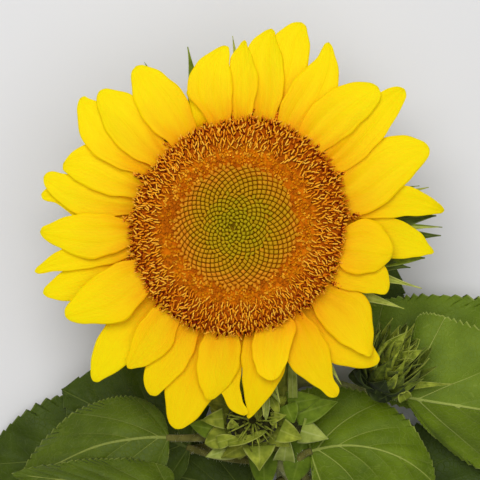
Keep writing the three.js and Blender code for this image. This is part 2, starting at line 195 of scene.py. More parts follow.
class Tap:
    """A socket of a material. Sums on it add Math nodes, and node() adds any other node."""

    def __init__(self, material, socket=None):
        self.material = material
        self.socket = socket

    def node(self, kind, settings=(), inputs=(), output=0):
        made = self.material.node_tree.nodes.new("ShaderNode" + kind)
        for name, value in dict(settings).items():
            if name == "stops":
                elements = made.color_ramp.elements
                while len(elements) < len(value):
                    elements.new(0.5)
                for element, (place, colour) in zip(elements, value):
                    element.position = place
                    element.color = colour
            else:
                setattr(made, name, value)
        for name, value in dict(inputs).items():
            give(made.inputs[name], value)
        return Tap(self.material, made.outputs[output])

    def feed(self, **values):
        """Gives the shader's sockets these values, and returns the material."""
        shader = self.material.node_tree.nodes["Principled BSDF"]
        for name, value in values.items():
            give(shader.inputs[name.replace("_", " ")], value)
        return self.material

    def maths(self, operation, *values):
        return self.node("Math", {"operation": operation}, enumerate(values))

    def __add__(self, other):
        return self.maths("ADD", self, other)

    def __sub__(self, other):
        return self.maths("SUBTRACT", self, other)

    def __rsub__(self, other):
        return self.maths("SUBTRACT", other, self)

    def __mul__(self, other):
        return self.maths("MULTIPLY", self, other)

    __radd__ = __add__
    __rmul__ = __mul__

    def clamped(self):
        return self.maths("MINIMUM", self.maths("MAXIMUM", self, 0.0), 1.0)

    def mix(self, first, second):
        """From the first colour where this is 0 to the second where it is 1."""
        return self.node("Mix", {"data_type": "RGBA"}, {0: self, 6: first, 7: second}, 2)

    def noise(self, vector, scale, detail=2.0, roughness=0.5):
        wanted = {"Vector": vector, "Scale": scale, "Detail": detail, "Roughness": roughness}
        return self.node("TexNoise", (), wanted)

    def attribute(self, name):
        return self.node("Attribute", {"attribute_name": name}, (), "Fac")

    def place(self):
        """Where a point is, in metres."""
        return self.node("TexCoord", (), (), "Object")

    def along_and_across(self):
        """How far along and across its sheet a point is."""
        uv = self.node("TexCoord", (), (), "UV")
        return [self.node("SeparateXYZ", (), {"Vector": uv}, axis) for axis in (0, 1)]

    def dots(self, height, distance):
        return self.node("Bump", (), {"Strength": 1.0, "Distance": distance, "Height": height})


def tissue(name, **plain):
    """A new living surface with these plain values on its shader, as a Tap to build the rest on."""
    material = bpy.data.materials.new(name)
    material.use_nodes = True
    tap = Tap(material)
    tap.feed(**plain)
    return tap


def ray_tissue(name, shade):
    """Yellow tissue. shade darkens it: on the underside, and as painted shade on the rays towards the stem.
    """
    tap = tissue(
        name, Roughness=0.55, Specular_IOR_Level=0.06, Subsurface_Weight=0.35,
        Subsurface_Radius=(1.0, 0.5, 0.05), Subsurface_Scale=2.5 * MM,
    )
    along, across = tap.along_and_across()
    stretched = tap.node("CombineXYZ", (), {"X": along * 1.6, "Y": across * 34.0})
    streaks = tap.noise(stretched, 1.0, 3.0)
    patches = tap.noise(tap.node("CombineXYZ", (), {"X": along * 2.2, "Y": across * 3.0}), 1.0, 1.0)
    yellow = tap.node("ValToRGB", {"stops": RAY_COLOURS}, {"Fac": along + (patches - 0.5) * 0.3})
    streak_mask = ((streaks - 0.5) * 3.0).clamped() * (0.42 - along * 0.3)
    colour = streak_mask.mix(yellow, rgb(240, 178, 0))
    blend = {"data_type": "RGBA", "blend_type": "MULTIPLY"}
    return tap.feed(
        Base_Color=tap.node("Mix", blend, {0: 1.0, 6: colour, 7: shade}, 2),
        Normal=tap.dots(streaks, 0.25 * MM),
    )


RAY_TOP = ray_tissue("ray_top", rgb(255, 255, 255))
# Painted shade: the rays towards the stem are a deeper, more orange yellow, as they slope away from the
# light above.
RAY_PAINTED_SHADE = ray_tissue("ray_top_painted_shade", rgb(254, 241, 255))  # the more orange ones towards the stem
RAYS_IN_PAINTED_SHADE = range(22, 34)
RAY_BACK = ray_tissue("ray_back", rgb(240, 238, 205))


class Line:
    """A smooth line through points, met at even shares of its length."""

    def __init__(self, points):
        points = np.array(points, float)
        points = np.vstack([2 * points[0] - points[1], points, 2 * points[-1] - points[-2]])
        knots = np.sqrt(np.linalg.norm(np.diff(points, axis=0), axis=1))
        fine = []
        for i in range(1, len(points) - 2):
            before, here, after = knots[i - 1:i + 2]
            a, b, c, d = points[i - 1:i + 3]
            leaving = here * ((b - a) / before - (c - a) / (before + here) + (c - b) / here)
            arriving = here * ((c - b) / here - (d - b) / (here + after) + (d - c) / after)
            u = np.linspace(0, 1, 41)[:, None][0 if i == 1 else 1:]
            fine.append(
                (2 * u**3 - 3 * u**2 + 1) * b + (u**3 - 2 * u**2 + u) * leaving
                + (3 * u**2 - 2 * u**3) * c + (u**3 - u**2) * arriving
            )
        self.fine = np.vstack(fine)
        run = np.concatenate([[0], np.cumsum(np.linalg.norm(np.diff(self.fine, axis=0), axis=1))])
        self.length = run[-1]
        self.shares = run / run[-1]

    def at(self, share):
        return np.stack([np.interp(share, self.shares, self.fine[:, k]) for k in range(3)], -1)

    def ahead(self, share):
        share = np.asarray(share, float)
        return unit(self.at(np.minimum(share + 0.004, 1)) - self.at(np.maximum(share - 0.004, 0)))

    def around(self, share, angle, side):
        """The direction off the line's skin at an angle from side, which is any way not along the line."""
        ahead = self.ahead(share)
        first = unit(side - (ahead @ side)[..., None] * ahead)
        return first * np.cos(angle)[..., None] + np.cross(ahead, first) * np.sin(angle)[..., None]


# How a ray differs from the others, in millimetres: cup, how far its edges stand up at the tip; tilt, rise
# of the left edge over the right; notch, depth of the cut in its tip; arch, how far its middle stands up;
# rise, how far its tip does. spread is how much wider its root is, as a share.
RAY_HABIT = dict(cup=-0.7, tilt=0.0, notch=0.3, arch=1.2, rise=0.0, spread=0.7)
RAY_HABITS = {
    1: dict(tilt=0.6, cup=0.8),
    2: dict(cup=-1.2, rise=1.5),
    3: dict(cup=1.6, tilt=1.2),
    5: dict(tilt=-0.6),
    8: dict(notch=1.6),
    10: dict(arch=6.0, rise=3.0),
    11: dict(cup=-1.1, tilt=0.5),
    12: dict(cup=-1.2),
    17: dict(notch=0.7),
    20: dict(cup=-1.2),
    26: dict(tilt=-0.5, spread=1.2),
    27: dict(notch=1.2, arch=4.2),
    28: dict(cup=1.2, tilt=-0.8, rise=3.5),
    29: dict(cup=-1.0),
    30: dict(cup=-1.4),
    31: dict(cup=-1.2, tilt=-0.8, rise=3.5),
    33: dict(cup=-1.2),
}


def ray_outline(node):
    """The left and the right edge of a ray's solid, each a Line from its root to its rounded tip."""
    corners = np.array([corner.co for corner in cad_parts[node].data.vertices])
    corners = (corners - HEAD) / MM
    reach = np.hypot(corners[:, 0], corners[:, 1])
    order = np.argsort(reach)
    rings = np.split(order, np.flatnonzero(np.diff(reach[order]) > 0.3) + 1)
    tip = corners[rings[-1][0]]
    leftwards = (tip[0] * corners[:, 1] - tip[1] * corners[:, 0]) / reach
    left = [corners[ring[np.argmax(leftwards[ring])]] for ring in rings[:-1]]
    right = [corners[ring[np.argmin(leftwards[ring])]] for ring in rings[:-1]]
    whole = Line([*left, tip, *reversed(right)])
    at_tip = np.argmin(np.linalg.norm(whole.fine - tip, axis=1))
    return Line(whole.fine[:at_tip + 1:8]), Line(whole.fine[:at_tip - 1:-8])


def ray_surface(node, habit, seed):
    left, right = ray_outline(node)
    draw = np.random.default_rng(seed)
    phase, twist, ripple = draw.uniform(0, 2 * math.pi), draw.uniform(-0.5, 0.5), draw.uniform(0.25, 0.5)
    wobble = draw.uniform(0, 2 * math.pi, 2)
    root, tip = (left.at(0.0) + right.at(0.0)) / 2, left.at(1.0)
    inward = unit((root - tip) * [1, 1, 0])

    def surface(u, s):
        t = 1 - (1 - u) ** 1.35
        over, under = left.at(t), right.at(t)
        half = np.linalg.norm(over - under, axis=1) / 2
        edge = 0.22 * np.abs(s) ** 3 * (np.sin(19 * t + wobble[0] + s) + np.sin(31 * t + wobble[1] - 2 * s))
        middle, across = (over + under) / 2, (over - under) / 2
        across *= (1 + edge / (half + 2) + habit["spread"] * np.exp(-((t / 0.11) ** 2)))[:, None]
        notch = habit["notch"] * t**14 * (0.5 + 0.5 * np.cos(2 * math.pi * s)) * (np.abs(s) < 0.5)
        arch = habit["arch"] * np.sin(math.pi * t**0.8)
        cup = (2.2 * (1 - t) ** 2 + habit["cup"] * t) * (s**2 - 0.35) * half / 11
        pleats = ripple * (1 - t) ** 0.7 * np.cos(3 * math.pi * s + twist) * (1 - s**2)
        keel = -0.35 * (1 - t) * np.exp(-((s / 0.12) ** 2))
        wave = 0.5 * np.sin(5 * t + phase) * s + twist * s * t
        lift = arch + cup + pleats + keel + wave + habit["tilt"] * s * t
        lift = lift * np.minimum(1, (1 - t) * 12 + 0.3) + habit["rise"] * t**2
        return middle + across * s[:, None] + np.outer(notch, inward) + np.outer(lift, (0, 0, 1))

    return surface


ray_nodes = sorted(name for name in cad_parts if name.startswith("ray_"))
for number, node in enumerate(ray_nodes, 1):
    habit = RAY_HABIT | RAY_HABITS.get(number, {})
    ray = grown(f"{node}_blade", RAY_CELLS, ray_surface(node, habit, number))
    uv = ray.data.uv_layers[0].data
    places = np.empty(len(uv) * 2)
    uv.foreach_get("uv", places)
    # moved on by its number, so that no two have the same streaks
    uv.foreach_set("uv", (places.reshape(-1, 2) + [0, number]).ravel())
    thicken(ray, RAY_THICKNESS, 0, 1)
    fitted(ray, "ray", node, RAY_PAINTED_SHADE if number in RAYS_IN_PAINTED_SHADE else RAY_TOP, RAY_BACK)

# ---- Disc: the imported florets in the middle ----
# About 2,500 tiny tube florets stand on a domed bed, each a golden angle on from the last, so that they run
# in crossing spirals. The oldest, outside, hold up dark anthers with two curled golden stigmas. A ring
# inside them has just opened, and the middle ones are shut, square-topped and olive green.

GOLDEN_ANGLE = math.pi * (3 - math.sqrt(5))
DISC_RADIUS = 54.5
BUD_ZONE = 30.8  # the shut florets end here
OPENING_ZONE = 38.5  # and the freshly opened ones here
FLORET_AREA = (  # radii, square millimetres a floret
    (0, 18, 28, 37, 40, 54),
    (3.4, 4.6, 5.6, 5.0, 2.8, 2.9),
)
SPIRAL_MIDDLE = np.array([-4.6, -0.8])  # the spirals start left of the disc's own middle
DISC_MIDDLE = np.array([-0.7, -0.4])
BED = (  # radii, heights
    (0, 20, 31, 38.5, 46, 50, 52.5, 53),
    (93.4, 93.8, 94.4, 96.0, 97.0, 96.2, 94.0, 90.5),
)
BED_CELLS = (44, 96)
BED_THICKNESS = 6 * MM
BED_COLOURS = (  # share of the bed's radius, colour
    (0.0, rgb(132, 102, 2)),
    (0.45, rgb(150, 84, 2)),
    (0.56, rgb(186, 96, 2)),
    (0.7, rgb(208, 116, 4)),
    (0.8, rgb(174, 80, 2)),
)


def bed_height(radius):
    return np.interp(radius, *BED)


def rim_share(angle):
    """The disc isn't quite round: its rim in a direction, as a share of the round one's."""
    return 1 + 0.035 * np.cos(2 * (angle - math.radians(45))) + 0.012 * np.cos(angle - math.radians(225))


def bed_middle(radius):
    share = (np.asarray(radius) / DISC_RADIUS)[:, None]
    return SPIRAL_MIDDLE * (1 - share) + DISC_MIDDLE * share


steps = np.linspace(0, DISC_RADIUS - 1, 400)
grown_by = np.cumsum(2 * math.pi * steps / np.interp(steps, *FLORET_AREA)) * (steps[1] - steps[0])
florets = int(grown_by[-1])
radii = np.interp(np.arange(florets) + 0.5, grown_by, steps)
angles = np.arange(florets) * GOLDEN_ANGLE + 1.0
outward = np.stack([np.cos(angles), np.sin(angles)], 1)
stretched = radii * (1 + (rim_share(angles) - 1) * (radii / DISC_RADIUS) ** 2)
feet = np.column_stack([bed_middle(radii) + outward * stretched[:, None], bed_height(radii)])
draw = np.random.default_rng(11)
ages = radii + draw.normal(0, 0.6, florets)


def standing(outward, lean, spin):
    """Axes of things that lean outward by an angle and are spun about their own length, as columns."""
    lean, spin = np.broadcast_to(lean, len(outward)), np.broadcast_to(spin, len(outward))
    flat = np.column_stack([outward, np.zeros(len(outward))])
    across = np.column_stack([-outward[:, 1], outward[:, 0], np.zeros(len(outward))])
    up = flat * np.sin(lean)[:, None] + np.array([0, 0, 1]) * np.cos(lean)[:, None]
    ahead = np.cross(across, up)
    turn, side = np.cos(spin)[:, None], np.sin(spin)[:, None]
    return np.stack([ahead * turn + across * side, across * turn - ahead * side, up], 2)


def planted(name, shape, places, axes, sizes):
    """Copies of a shape, modelled in millimetres, as one mesh, each at its place with its axes and size."""
    corners = points_of(shape)
    sizes = np.asarray(sizes, float).reshape(len(places), -1)
    spread = np.einsum("nij,nkj->nki", axes, corners[None] * sizes[:, None, :]) + places[:, None, :]
    faces = [np.array(face.vertices) for face in shape.data.polygons]
    firsts = np.arange(len(places)) * len(corners)
    mesh = bpy.data.meshes.new(name)
    mesh.from_pydata(
        (spread.reshape(-1, 3) * MM + HEAD).tolist(),
        [],
        [row for face in faces for row in (face[None] + firsts[:, None]).tolist()],
    )
    slots = [face.material_index for face in shape.data.polygons]
    mesh.polygons.foreach_set("material_index", np.repeat(slots, len(places)))
    piece = bpy.data.objects.new(name, mesh)
    bpy.context.scene.collection.objects.link(piece)
    return piece


def shaped(kind, **settings):
    """A new primitive, with all else deselected, to be worked into a small shape."""
    bpy.ops.object.select_all(action="DESELECT")
    getattr(bpy.ops.mesh, f"primitive_{kind}_add")(**settings)
    bpy.ops.object.transform_apply(location=True, rotation=True, scale=True)
    return bpy.context.object


def select_faces(piece, wanted):
    """Selects the faces whose middle and normal pass the test, and goes to edit mode."""
    bpy.ops.object.mode_set(mode="EDIT")
    bpy.ops.mesh.select_all(action="DESELECT")
    bpy.ops.object.mode_set(mode="OBJECT")
    for face in piece.data.polygons:
        face.select = bool(wanted(face.center, face.normal))
    bpy.ops.object.mode_set(mode="EDIT")


def plain_tissue(name, colour, darker, scale, roughness):
    """Tissue of one colour with darker flecks of a size of a metre over scale."""
    tap = tissue(name, Roughness=roughness, Specular_IOR_Level=0.08)
    flecks = tap.noise(tap.place(), scale)
    return tap.feed(Base_Color=((flecks - 0.35) * 2.2).clamped().mix(darker, colour))


def round_head(angle, radius, height):
    return np.stack([radius * np.cos(angle), radius * np.sin(angle), height], -1)


def bed_surface(t, s):
    radius = t * BED[0][-1]
    angle = s * math.pi
    height = bed_height(radius) + 0.25 * np.cos(40 * angle) * np.sin(radius * 1.5)
    points = round_head(angle, radius * (1 + (rim_share(angle) - 1) * t**2), height)
    points[:, :2] += bed_middle(radius)
    return points


bed = grown("disc_bed", BED_CELLS, bed_surface)
thicken(bed, BED_THICKNESS)
bed_tap = tissue("disc_bed", Roughness=0.8, Specular_IOR_Level=0.05)
from_middle = bed_tap.along_and_across()[0] + bed_tap.noise(bed_tap.place(), 500) * 0.06 - 0.03
bed_colour = bed_tap.node("ValToRGB", {"stops": BED_COLOURS}, {"Fac": from_middle})
fitted(bed, "disc", "disc", bed_tap.feed(Base_Color=bed_colour))

# a shut floret: a square-shouldered knob, shaped to the space between its neighbours on crossing spirals
KNOB_HALF = 0.46  # as a share of that space
KNOB_HEIGHT = 3.0
knob = shaped("cube", size=1)
bpy.ops.object.mode_set(mode="EDIT")
bpy.ops.mesh.subdivide(number_cuts=1)
bpy.ops.mesh.vertices_smooth(factor=0.3, repeat=1)
bpy.ops.object.mode_set(mode="OBJECT")
corners = points_of(knob)
move_points(knob, corners * (KNOB_HALF / corners.max(0)))
for face in knob.data.polygons:
    face.material_index = int(face.normal.z < 0.6)

# the spirals that a floret stands on lead to those numbered so many after it
nearby = np.array([1, 2, 3, 5, 8, 13, 21, 34, 55, 89])
across = feet[(np.arange(florets)[:, None] + nearby).clip(max=florets - 1)] - feet[:, None]
across_lengths = np.linalg.norm(across, axis=2)
across_lengths[across_lengths == 0] = 99
first, second = np.argsort(across_lengths, axis=1)[:, :2].T
first_way, second_way = across[np.arange(florets), first], across[np.arange(florets), second]
inside_out = np.cross(first_way, second_way)[:, 2] < 0
second_way[inside_out] *= -1
cells = np.stack([first_way, second_way, np.tile((0.0, 0.0, KNOB_HEIGHT), (florets, 1))], 2)


def between(values, start, end):
    return (values >= start) & (values < end)


shut = ages < BUD_ZONE
greenness = radii + draw.normal(0, 1.6, florets) - 4 * np.cos(angles - 0.5) * (radii / BUD_ZONE)
for tone, colour, darker, start, end in (
    ("green", rgb(190, 168, 10), rgb(152, 128, 2), -99, 9),
    ("olive", rgb(200, 168, 12), rgb(162, 126, 2), 9, 16),
    ("straw", rgb(212, 166, 16), rgb(176, 122, 4), 16, 22),
    ("ochre", rgb(222, 166, 24), rgb(186, 118, 6), 22, 27),
    ("tan", rgb(232, 166, 34), rgb(196, 112, 6), 27, 999),
):
    chosen = shut & between(greenness, start, end)
    sizes = draw.uniform(0.9, 1.0, (chosen.sum(), 3))
    side = np.array(rgb(156, 74, 4)) * 0.6 + np.array(darker) * 0.4
    fitted(
        planted(f"shut_florets_{tone}", knob, feet[chosen] + [0, 0, 0.9], cells[chosen], sizes),
        "disc", "disc", plain_tissue(f"floret_{tone}", colour, darker, 1500, 0.5),
        plain_tissue(f"floret_side_{tone}", tuple(side), tuple(side * 0.7), 1500, 0.7),
    )
bpy.data.objects.remove(knob)

# a floret that has just opened: a cup whose rim stands up in five orange points
cup = shaped("cylinder", vertices=10, radius=0.55, depth=1.8, end_fill_type="NGON")
select_faces(cup, lambda middle, normal: normal.z > 0.9)
bpy.ops.mesh.inset(thickness=0.16)
bpy.ops.transform.translate(value=(0, 0, -0.8))
bpy.ops.object.mode_set(mode="OBJECT")
corners = points_of(cup)
rim = (np.hypot(corners[:, 0], corners[:, 1]) > 0.5) & (corners[:, 2] > 0.8)
lobed = rim & (np.cos(5 * np.arctan2(corners[:, 1], corners[:, 0])) > 0)
corners[lobed] = corners[lobed] * [1.7, 1.7, 1] + [0, 0, 0.75]
corners[rim & ~lobed] -= [0, 0, 0.35]
move_points(cup, corners)

CUPS_A_FOOT = 4  # small ones side by side, so that the ring looks downy
opening = between(ages, BUD_ZONE, OPENING_ZONE)
lot = draw.random(florets)
for tone, colour, darker, start, end in (
    ("orange", rgb(232, 162, 10), rgb(206, 122, 2), 0, 0.5),
    ("amber", rgb(242, 192, 54), rgb(226, 152, 16), 0.5, 0.75),
    ("rust", rgb(212, 126, 4), rgb(172, 84, 2), 0.75, 1),
):
    chosen = opening & between(lot, start, end)
    places = np.concatenate([feet[chosen]] * CUPS_A_FOOT)
    count = len(places)
    places += np.column_stack([draw.uniform(-1.2, 1.2, (count, 2)), draw.uniform(0.3, 1.4, count)])
    ways = np.concatenate([outward[chosen]] * CUPS_A_FOOT)
    axes = standing(ways, draw.normal(0.15, 0.35, count), draw.uniform(0, 6.3, count))
    sizes = draw.uniform(0.45, 0.8, (count, 1)).repeat(3, 1)
    cups = planted(f"opening_florets_{tone}", cup, places, axes, sizes)
    fitted(cups, "disc", "disc", plain_tissue(f"opening_{tone}", colour, darker, 2500, 0.8))
bpy.data.objects.remove(cup)

# an open floret: a dark anther column with a flared mouth, on a pale tube
column = shaped("cylinder", vertices=7, radius=0.5, depth=2, end_fill_type="TRIFAN", location=(0, 0, 1))
select_faces(column, lambda middle, normal: abs(normal.z) < 0.5)
bpy.ops.mesh.subdivide(number_cuts=1)
bpy.ops.object.mode_set(mode="OBJECT")
corners = points_of(column)
corners[:, :2] *= np.interp(corners[:, 2], (0, 1, 2), (0.7, 0.85, 1.1))[:, None]
move_points(column, corners)
for face in column.data.polygons:
    face.material_index = int(face.center.z < 1.2)


def wire(points, thick):
    """A thin shape along points, in millimetres, that tapers to 0.8 of its thickness, as a mesh."""
    line = bpy.data.curves.new("arm", "CURVE")
    line.dimensions = "3D"
    line.bevel_depth = thick / 2
    line.bevel_resolution = 1
    line.resolution_u = 1
    line.use_fill_caps = True
    spline = line.splines.new("POLY")
    spline.points.add(len(points) - 1)
    for point, at, share in zip(spline.points, points, np.linspace(0, 1, len(points))):
        point.co = (*at, 1)
        point.radius = 1 - 0.2 * share**2
    piece = bpy.data.objects.new("arm", line)
    bpy.context.scene.collection.objects.link(piece)
    choose(piece)
    bpy.ops.object.convert(target="MESH")
    return bpy.context.object


def stigma_arm(sweep, reach, sideways):
    """An arm that leaves the column's mouth and curls back on itself through the sweep, in radians."""
    turned = np.linspace(0, sweep, 7)
    height = 1.9 + reach * np.sin(turned)
    return np.column_stack([reach * (1 - np.cos(turned)), sideways * turned**1.5, height])


def joined(name, pieces):
    choose(*pieces)
    bpy.ops.object.join()
    pieces[0].name = pieces[0].data.name = name
    return pieces[0]


forks = []
for sweep, reach, sideways in ((3.3, 0.56, 0.03), (2.7, 0.66, -0.04), (3.8, 0.5, 0.02)):
    outer_arm = stigma_arm(sweep, reach, sideways)
    inner_arm = stigma_arm(sweep * 0.85, reach * 0.75, sideways) * [-1, -1, 1]
    forks.append(joined("fork", [wire(outer_arm, 0.56), wire(inner_arm, 0.52)]))

# some more stand in the forks between the rays' roots
FORKS = (4.5, 27.5, 41.5, 72, 84.3, 95.3, 132, 154, 176.5, 197, 304, 328)  # directions in degrees
IN_A_FORK = 12
FORK_RADII = (51.5, 58)
FORK_HEIGHT = 91.5  # at the first radius
FORK_SLOPE = 0.55
fork_angles = np.radians(np.repeat(FORKS, IN_A_FORK) + draw.normal(0, 0.7, len(FORKS) * IN_A_FORK))
fork_radii = draw.uniform(*FORK_RADII, len(fork_angles))
fork_heights = FORK_HEIGHT - (fork_radii - FORK_RADII[0]) * FORK_SLOPE
outward = np.vstack([outward, np.column_stack([np.cos(fork_angles), np.sin(fork_angles)])])
feet = np.vstack([feet, round_head(fork_angles, fork_radii, fork_heights)])
radii, ages = np.append(radii, fork_radii), np.append(ages, fork_radii)
florets = len(radii)

open_ones = ages >= OPENING_ZONE
share_out = ((radii - OPENING_ZONE) / (DISC_RADIUS - OPENING_ZONE)).clip(0, 1)
leans = 0.15 + 0.95 * share_out**1.3 + draw.normal(0, 0.16, florets)
spins = draw.normal(-0.1, 0.34, florets)
feet[open_ones, :2] += draw.normal(0, 0.4, (open_ones.sum(), 2))  # the open ones jostle out of their rows
heights = draw.uniform(0.6, 1.3, florets)
widths = draw.uniform(1.0, 1.5, florets)
column_sizes = np.column_stack([widths, widths, heights])
lot = draw.random(florets)
for tone, colour, darker, start, end in (
    ("maroon", rgb(142, 32, 4), rgb(106, 16, 2), 0, 0.6),
    ("brown", rgb(214, 116, 8), rgb(170, 74, 4), 0.6, 1),
):
    chosen = open_ones & between(lot, start, end)
    axes = standing(outward[chosen], leans[chosen], spins[chosen])
    fitted(
        planted(f"anthers_{tone}", column, feet[chosen], axes, column_sizes[chosen]),
        "disc", "disc", plain_tissue(f"anther_{tone}", colour, darker, 1800, 0.65),
        plain_tissue(f"tube_{tone}", rgb(228, 130, 12), rgb(188, 90, 4), 1800, 0.65),
    )
for number, (tone, colour, darker) in enumerate((
    ("gold", rgb(252, 187, 36), rgb(236, 146, 12)),
    ("straw", rgb(254, 204, 72), rgb(244, 168, 30)),
    ("amber", rgb(246, 160, 20), rgb(216, 116, 6)),
)):
    chosen = open_ones & (np.floor(lot * 30) % 3 == number)
    turns = spins[chosen] + draw.normal(0, 0.12, chosen.sum())
    axes = standing(outward[chosen], leans[chosen], turns)
    stigmas = planted(f"stigmas_{tone}", forks[number], feet[chosen], axes, column_sizes[chosen])
    fitted(stigmas, "disc", "disc", plain_tissue(f"stigma_{tone}", colour, darker, 1600, 0.6))
for shape in (column, *forks):
    bpy.data.objects.remove(shape)

# ---- Receptacle: the green cup under the disc ----
# A fleshy, downy cup that widens from the neck to the rim that the rays and bracts grow from. It is ribbed
# along the lines where the bracts are rooted.

GREEN_CUP = (  # radii, heights
    (0, 8, 9.5, 15, 26, 37, 44, 46.2, 46.6, 46),
    (50.8, 50.9, 51.5, 55, 60.5, 66, 71, 76, 84, 92),
)
CUP_CELLS = (60, 170)
CUP_THICKNESS = 3 * MM
BRACTS_A_ROW = 17


def cup_surface(t, s):
    radius, height = (np.interp(t, np.linspace(0, 1, len(side)), side) for side in GREEN_CUP)
    angle = -s * math.pi
    radius = radius + 0.5 * np.cos(2 * BRACTS_A_ROW * angle) * np.sin(math.pi * t)
    return round_head(angle, radius, height)


def downy(name, colour, darker, scale, roughness=0.75):
    """Green tissue with soft darker patches and a fine rough skin."""
    tap = tissue(
        name, Roughness=roughness, Specular_IOR_Level=0.12, Sheen_Weight=0.05, Sheen_Roughness=0.5
    )
    patches = tap.noise(tap.place(), scale, 4.0)
    return tap.feed(
        Base_Color=((patches - 0.35) * 2.5).clamped().mix(darker, colour),
        Normal=tap.dots(tap.noise(tap.place(), 1400, 2.0), 0.15 * MM),
    )


receptacle = grown("receptacle_cup", CUP_CELLS, cup_surface)
thicken(receptacle, CUP_THICKNESS)
receptacle_green = downy("receptacle_green", rgb(132, 150, 84), rgb(100, 122, 56), 220)
fitted(receptacle, "head_green", "receptacle", receptacle_green)

# ---- Head bracts: two rows of green scales behind the rays ----
# Leafy scales that held the bud shut, rooted on the receptacle's rim. Each is broad at its foot, with a
# pale midrib, and runs out to a long curling point. The points show in the gaps between the rays.

BRACT_CELLS = (36, 10)
THREAD_CELLS = (16, 4)  # for one that is under 2 mm wide
BRACT_THICKNESS = 0.45 * MM


def curved_line(start, out, up, length, rise, curl, t):
    """Points and upper sides of a line that leaves start at angle rise above out and ends at curl."""
    fine = np.linspace(0, 1, 61)
    slope = rise + (curl - rise) * fine**1.6
    step = np.cumsum(np.column_stack([np.cos(slope), np.sin(slope)]), 0) / 60 * length
    flat, high = np.interp(t, fine, step[:, 0] - step[0, 0]), np.interp(t, fine, step[:, 1] - step[0, 1])
    slope = np.interp(t, fine, slope)
    points = start + np.outer(flat, out) + np.outer(high, up)
    upper = np.outer(np.cos(slope), up) - np.outer(np.sin(slope), out)
    return points, upper


def bract(name, start, out, up, length, width, rise, curl, cup, seed, foot=0.4, point=1.6, roll=0.0):
    """A leafy scale from start along out. cup is how far its edges stand over its middle, as a share of
    width; foot is how broad its root is, and a higher point draws its tip out longer."""
    side = np.cross(up, out)
    up, side = up * math.cos(roll) + side * math.sin(roll), side * math.cos(roll) - up * math.sin(roll)
    draw = np.random.default_rng(seed)
    phase, bend, twist = draw.uniform(0, 6.3), draw.uniform(-0.06, 0.06), draw.uniform(-0.3, 0.3)

    def surface(t, s):
        points, upper = curved_line(start, out, up, length, rise, curl, t)
        outline = (t + foot * 0.35) ** 0.6 * (1 - t) ** point
        half = width / 2 * (outline / outline.max()) + 0.12
        lift = cup * width * s**2 * np.sin(math.pi * np.sqrt(t))
        lift += 0.02 * width * np.sin(9 * t + phase) * s**2 + twist * half * s * t
        lift += 0.03 * width * np.sin(7 * t + 3 * s + phase) * np.sin(math.pi * t)
        rib = 0.35 * np.exp(-((s / 0.16) ** 2)) * (1 - t)
        sideways = half * s + bend * length * t**2
        return points + np.outer(sideways, side) + upper * (lift + rib)[:, None]

    def marks(t, s):
        return {"from_rib": np.abs(s), "from_foot": t}

    piece = grown(name, BRACT_CELLS if width > 2 else THREAD_CELLS, surface, marks)
    thicken(piece, BRACT_THICKNESS, 0)
    return piece


def bract_tissue(name, colour, darker, edge):
    """Scale tissue: a paler midrib and margin, soft patches, and painted shade that darkens the foot."""
    tap = tissue(name, Roughness=0.62, Specular_IOR_Level=0.12, Sheen_Weight=0.04, Sheen_Roughness=0.5)
    from_rib = tap.attribute("from_rib")
    patches = tap.noise(tap.place(), 260, 4.0)
    skin = ((patches - 0.3) * 2.4).clamped().mix(darker, colour)
    # painted shade: each scale is darker towards its foot, where it lies in the shade of the scales over it
    skin = ((0.4 - tap.attribute("from_foot")) * 2.4).clamped().mix(skin, darker)
    pale = (1 - from_rib * 9).clamped() * 0.22 + ((from_rib - 0.86) * 6).clamped() * 0.35
    return tap.feed(
        Base_Color=pale.mix(skin, edge),
        Normal=tap.dots(tap.noise(tap.place(), 320, 5.0, 0.6), 0.7 * MM),
    )


HEAD_BRACT = bract_tissue("head_bract", rgb(128, 144, 36), rgb(88, 106, 18), rgb(176, 184, 84))
HEAD_DARK = bract_tissue("head_bract_dark", rgb(74, 88, 24), rgb(48, 60, 12), rgb(150, 160, 80))
HEAD_PALE = bract_tissue("head_bract_pale", rgb(176, 182, 80), rgb(136, 148, 48), rgb(206, 206, 130))
UP = np.array((0.0, 0.0, 1.0))
LEVEL = (1, 1, 0)  # takes the height out of a direction


def rim_point(degrees, radius, height):
    return round_head(math.radians(degrees), radius, height)


for row_name, height, turn, start_radius, width in (
    ("outer_bracts", 70.5, 0.5, 43.5, 17), ("inner_bracts", 75.5, 1.0, 45.2, 16),
):
    scales = []
    draw = np.random.default_rng(len(row_name) + int(height))
    for i in range(BRACTS_A_ROW):
        start = rim_point(360 * (i + turn) / BRACTS_A_ROW, start_radius, height)
        scales.append(bract(
            "scale", start, unit(start * LEVEL), UP, draw.uniform(78, 84) - start_radius,
            width * draw.uniform(0.9, 1.1), math.radians(draw.uniform(2, 8)),
            math.radians(draw.uniform(-14, -2)), draw.uniform(0.04, 0.1), 100 * int(height) + i,
        ))
    fitted(joined(f"{row_name}_scales", scales), "bract", row_name, HEAD_BRACT)

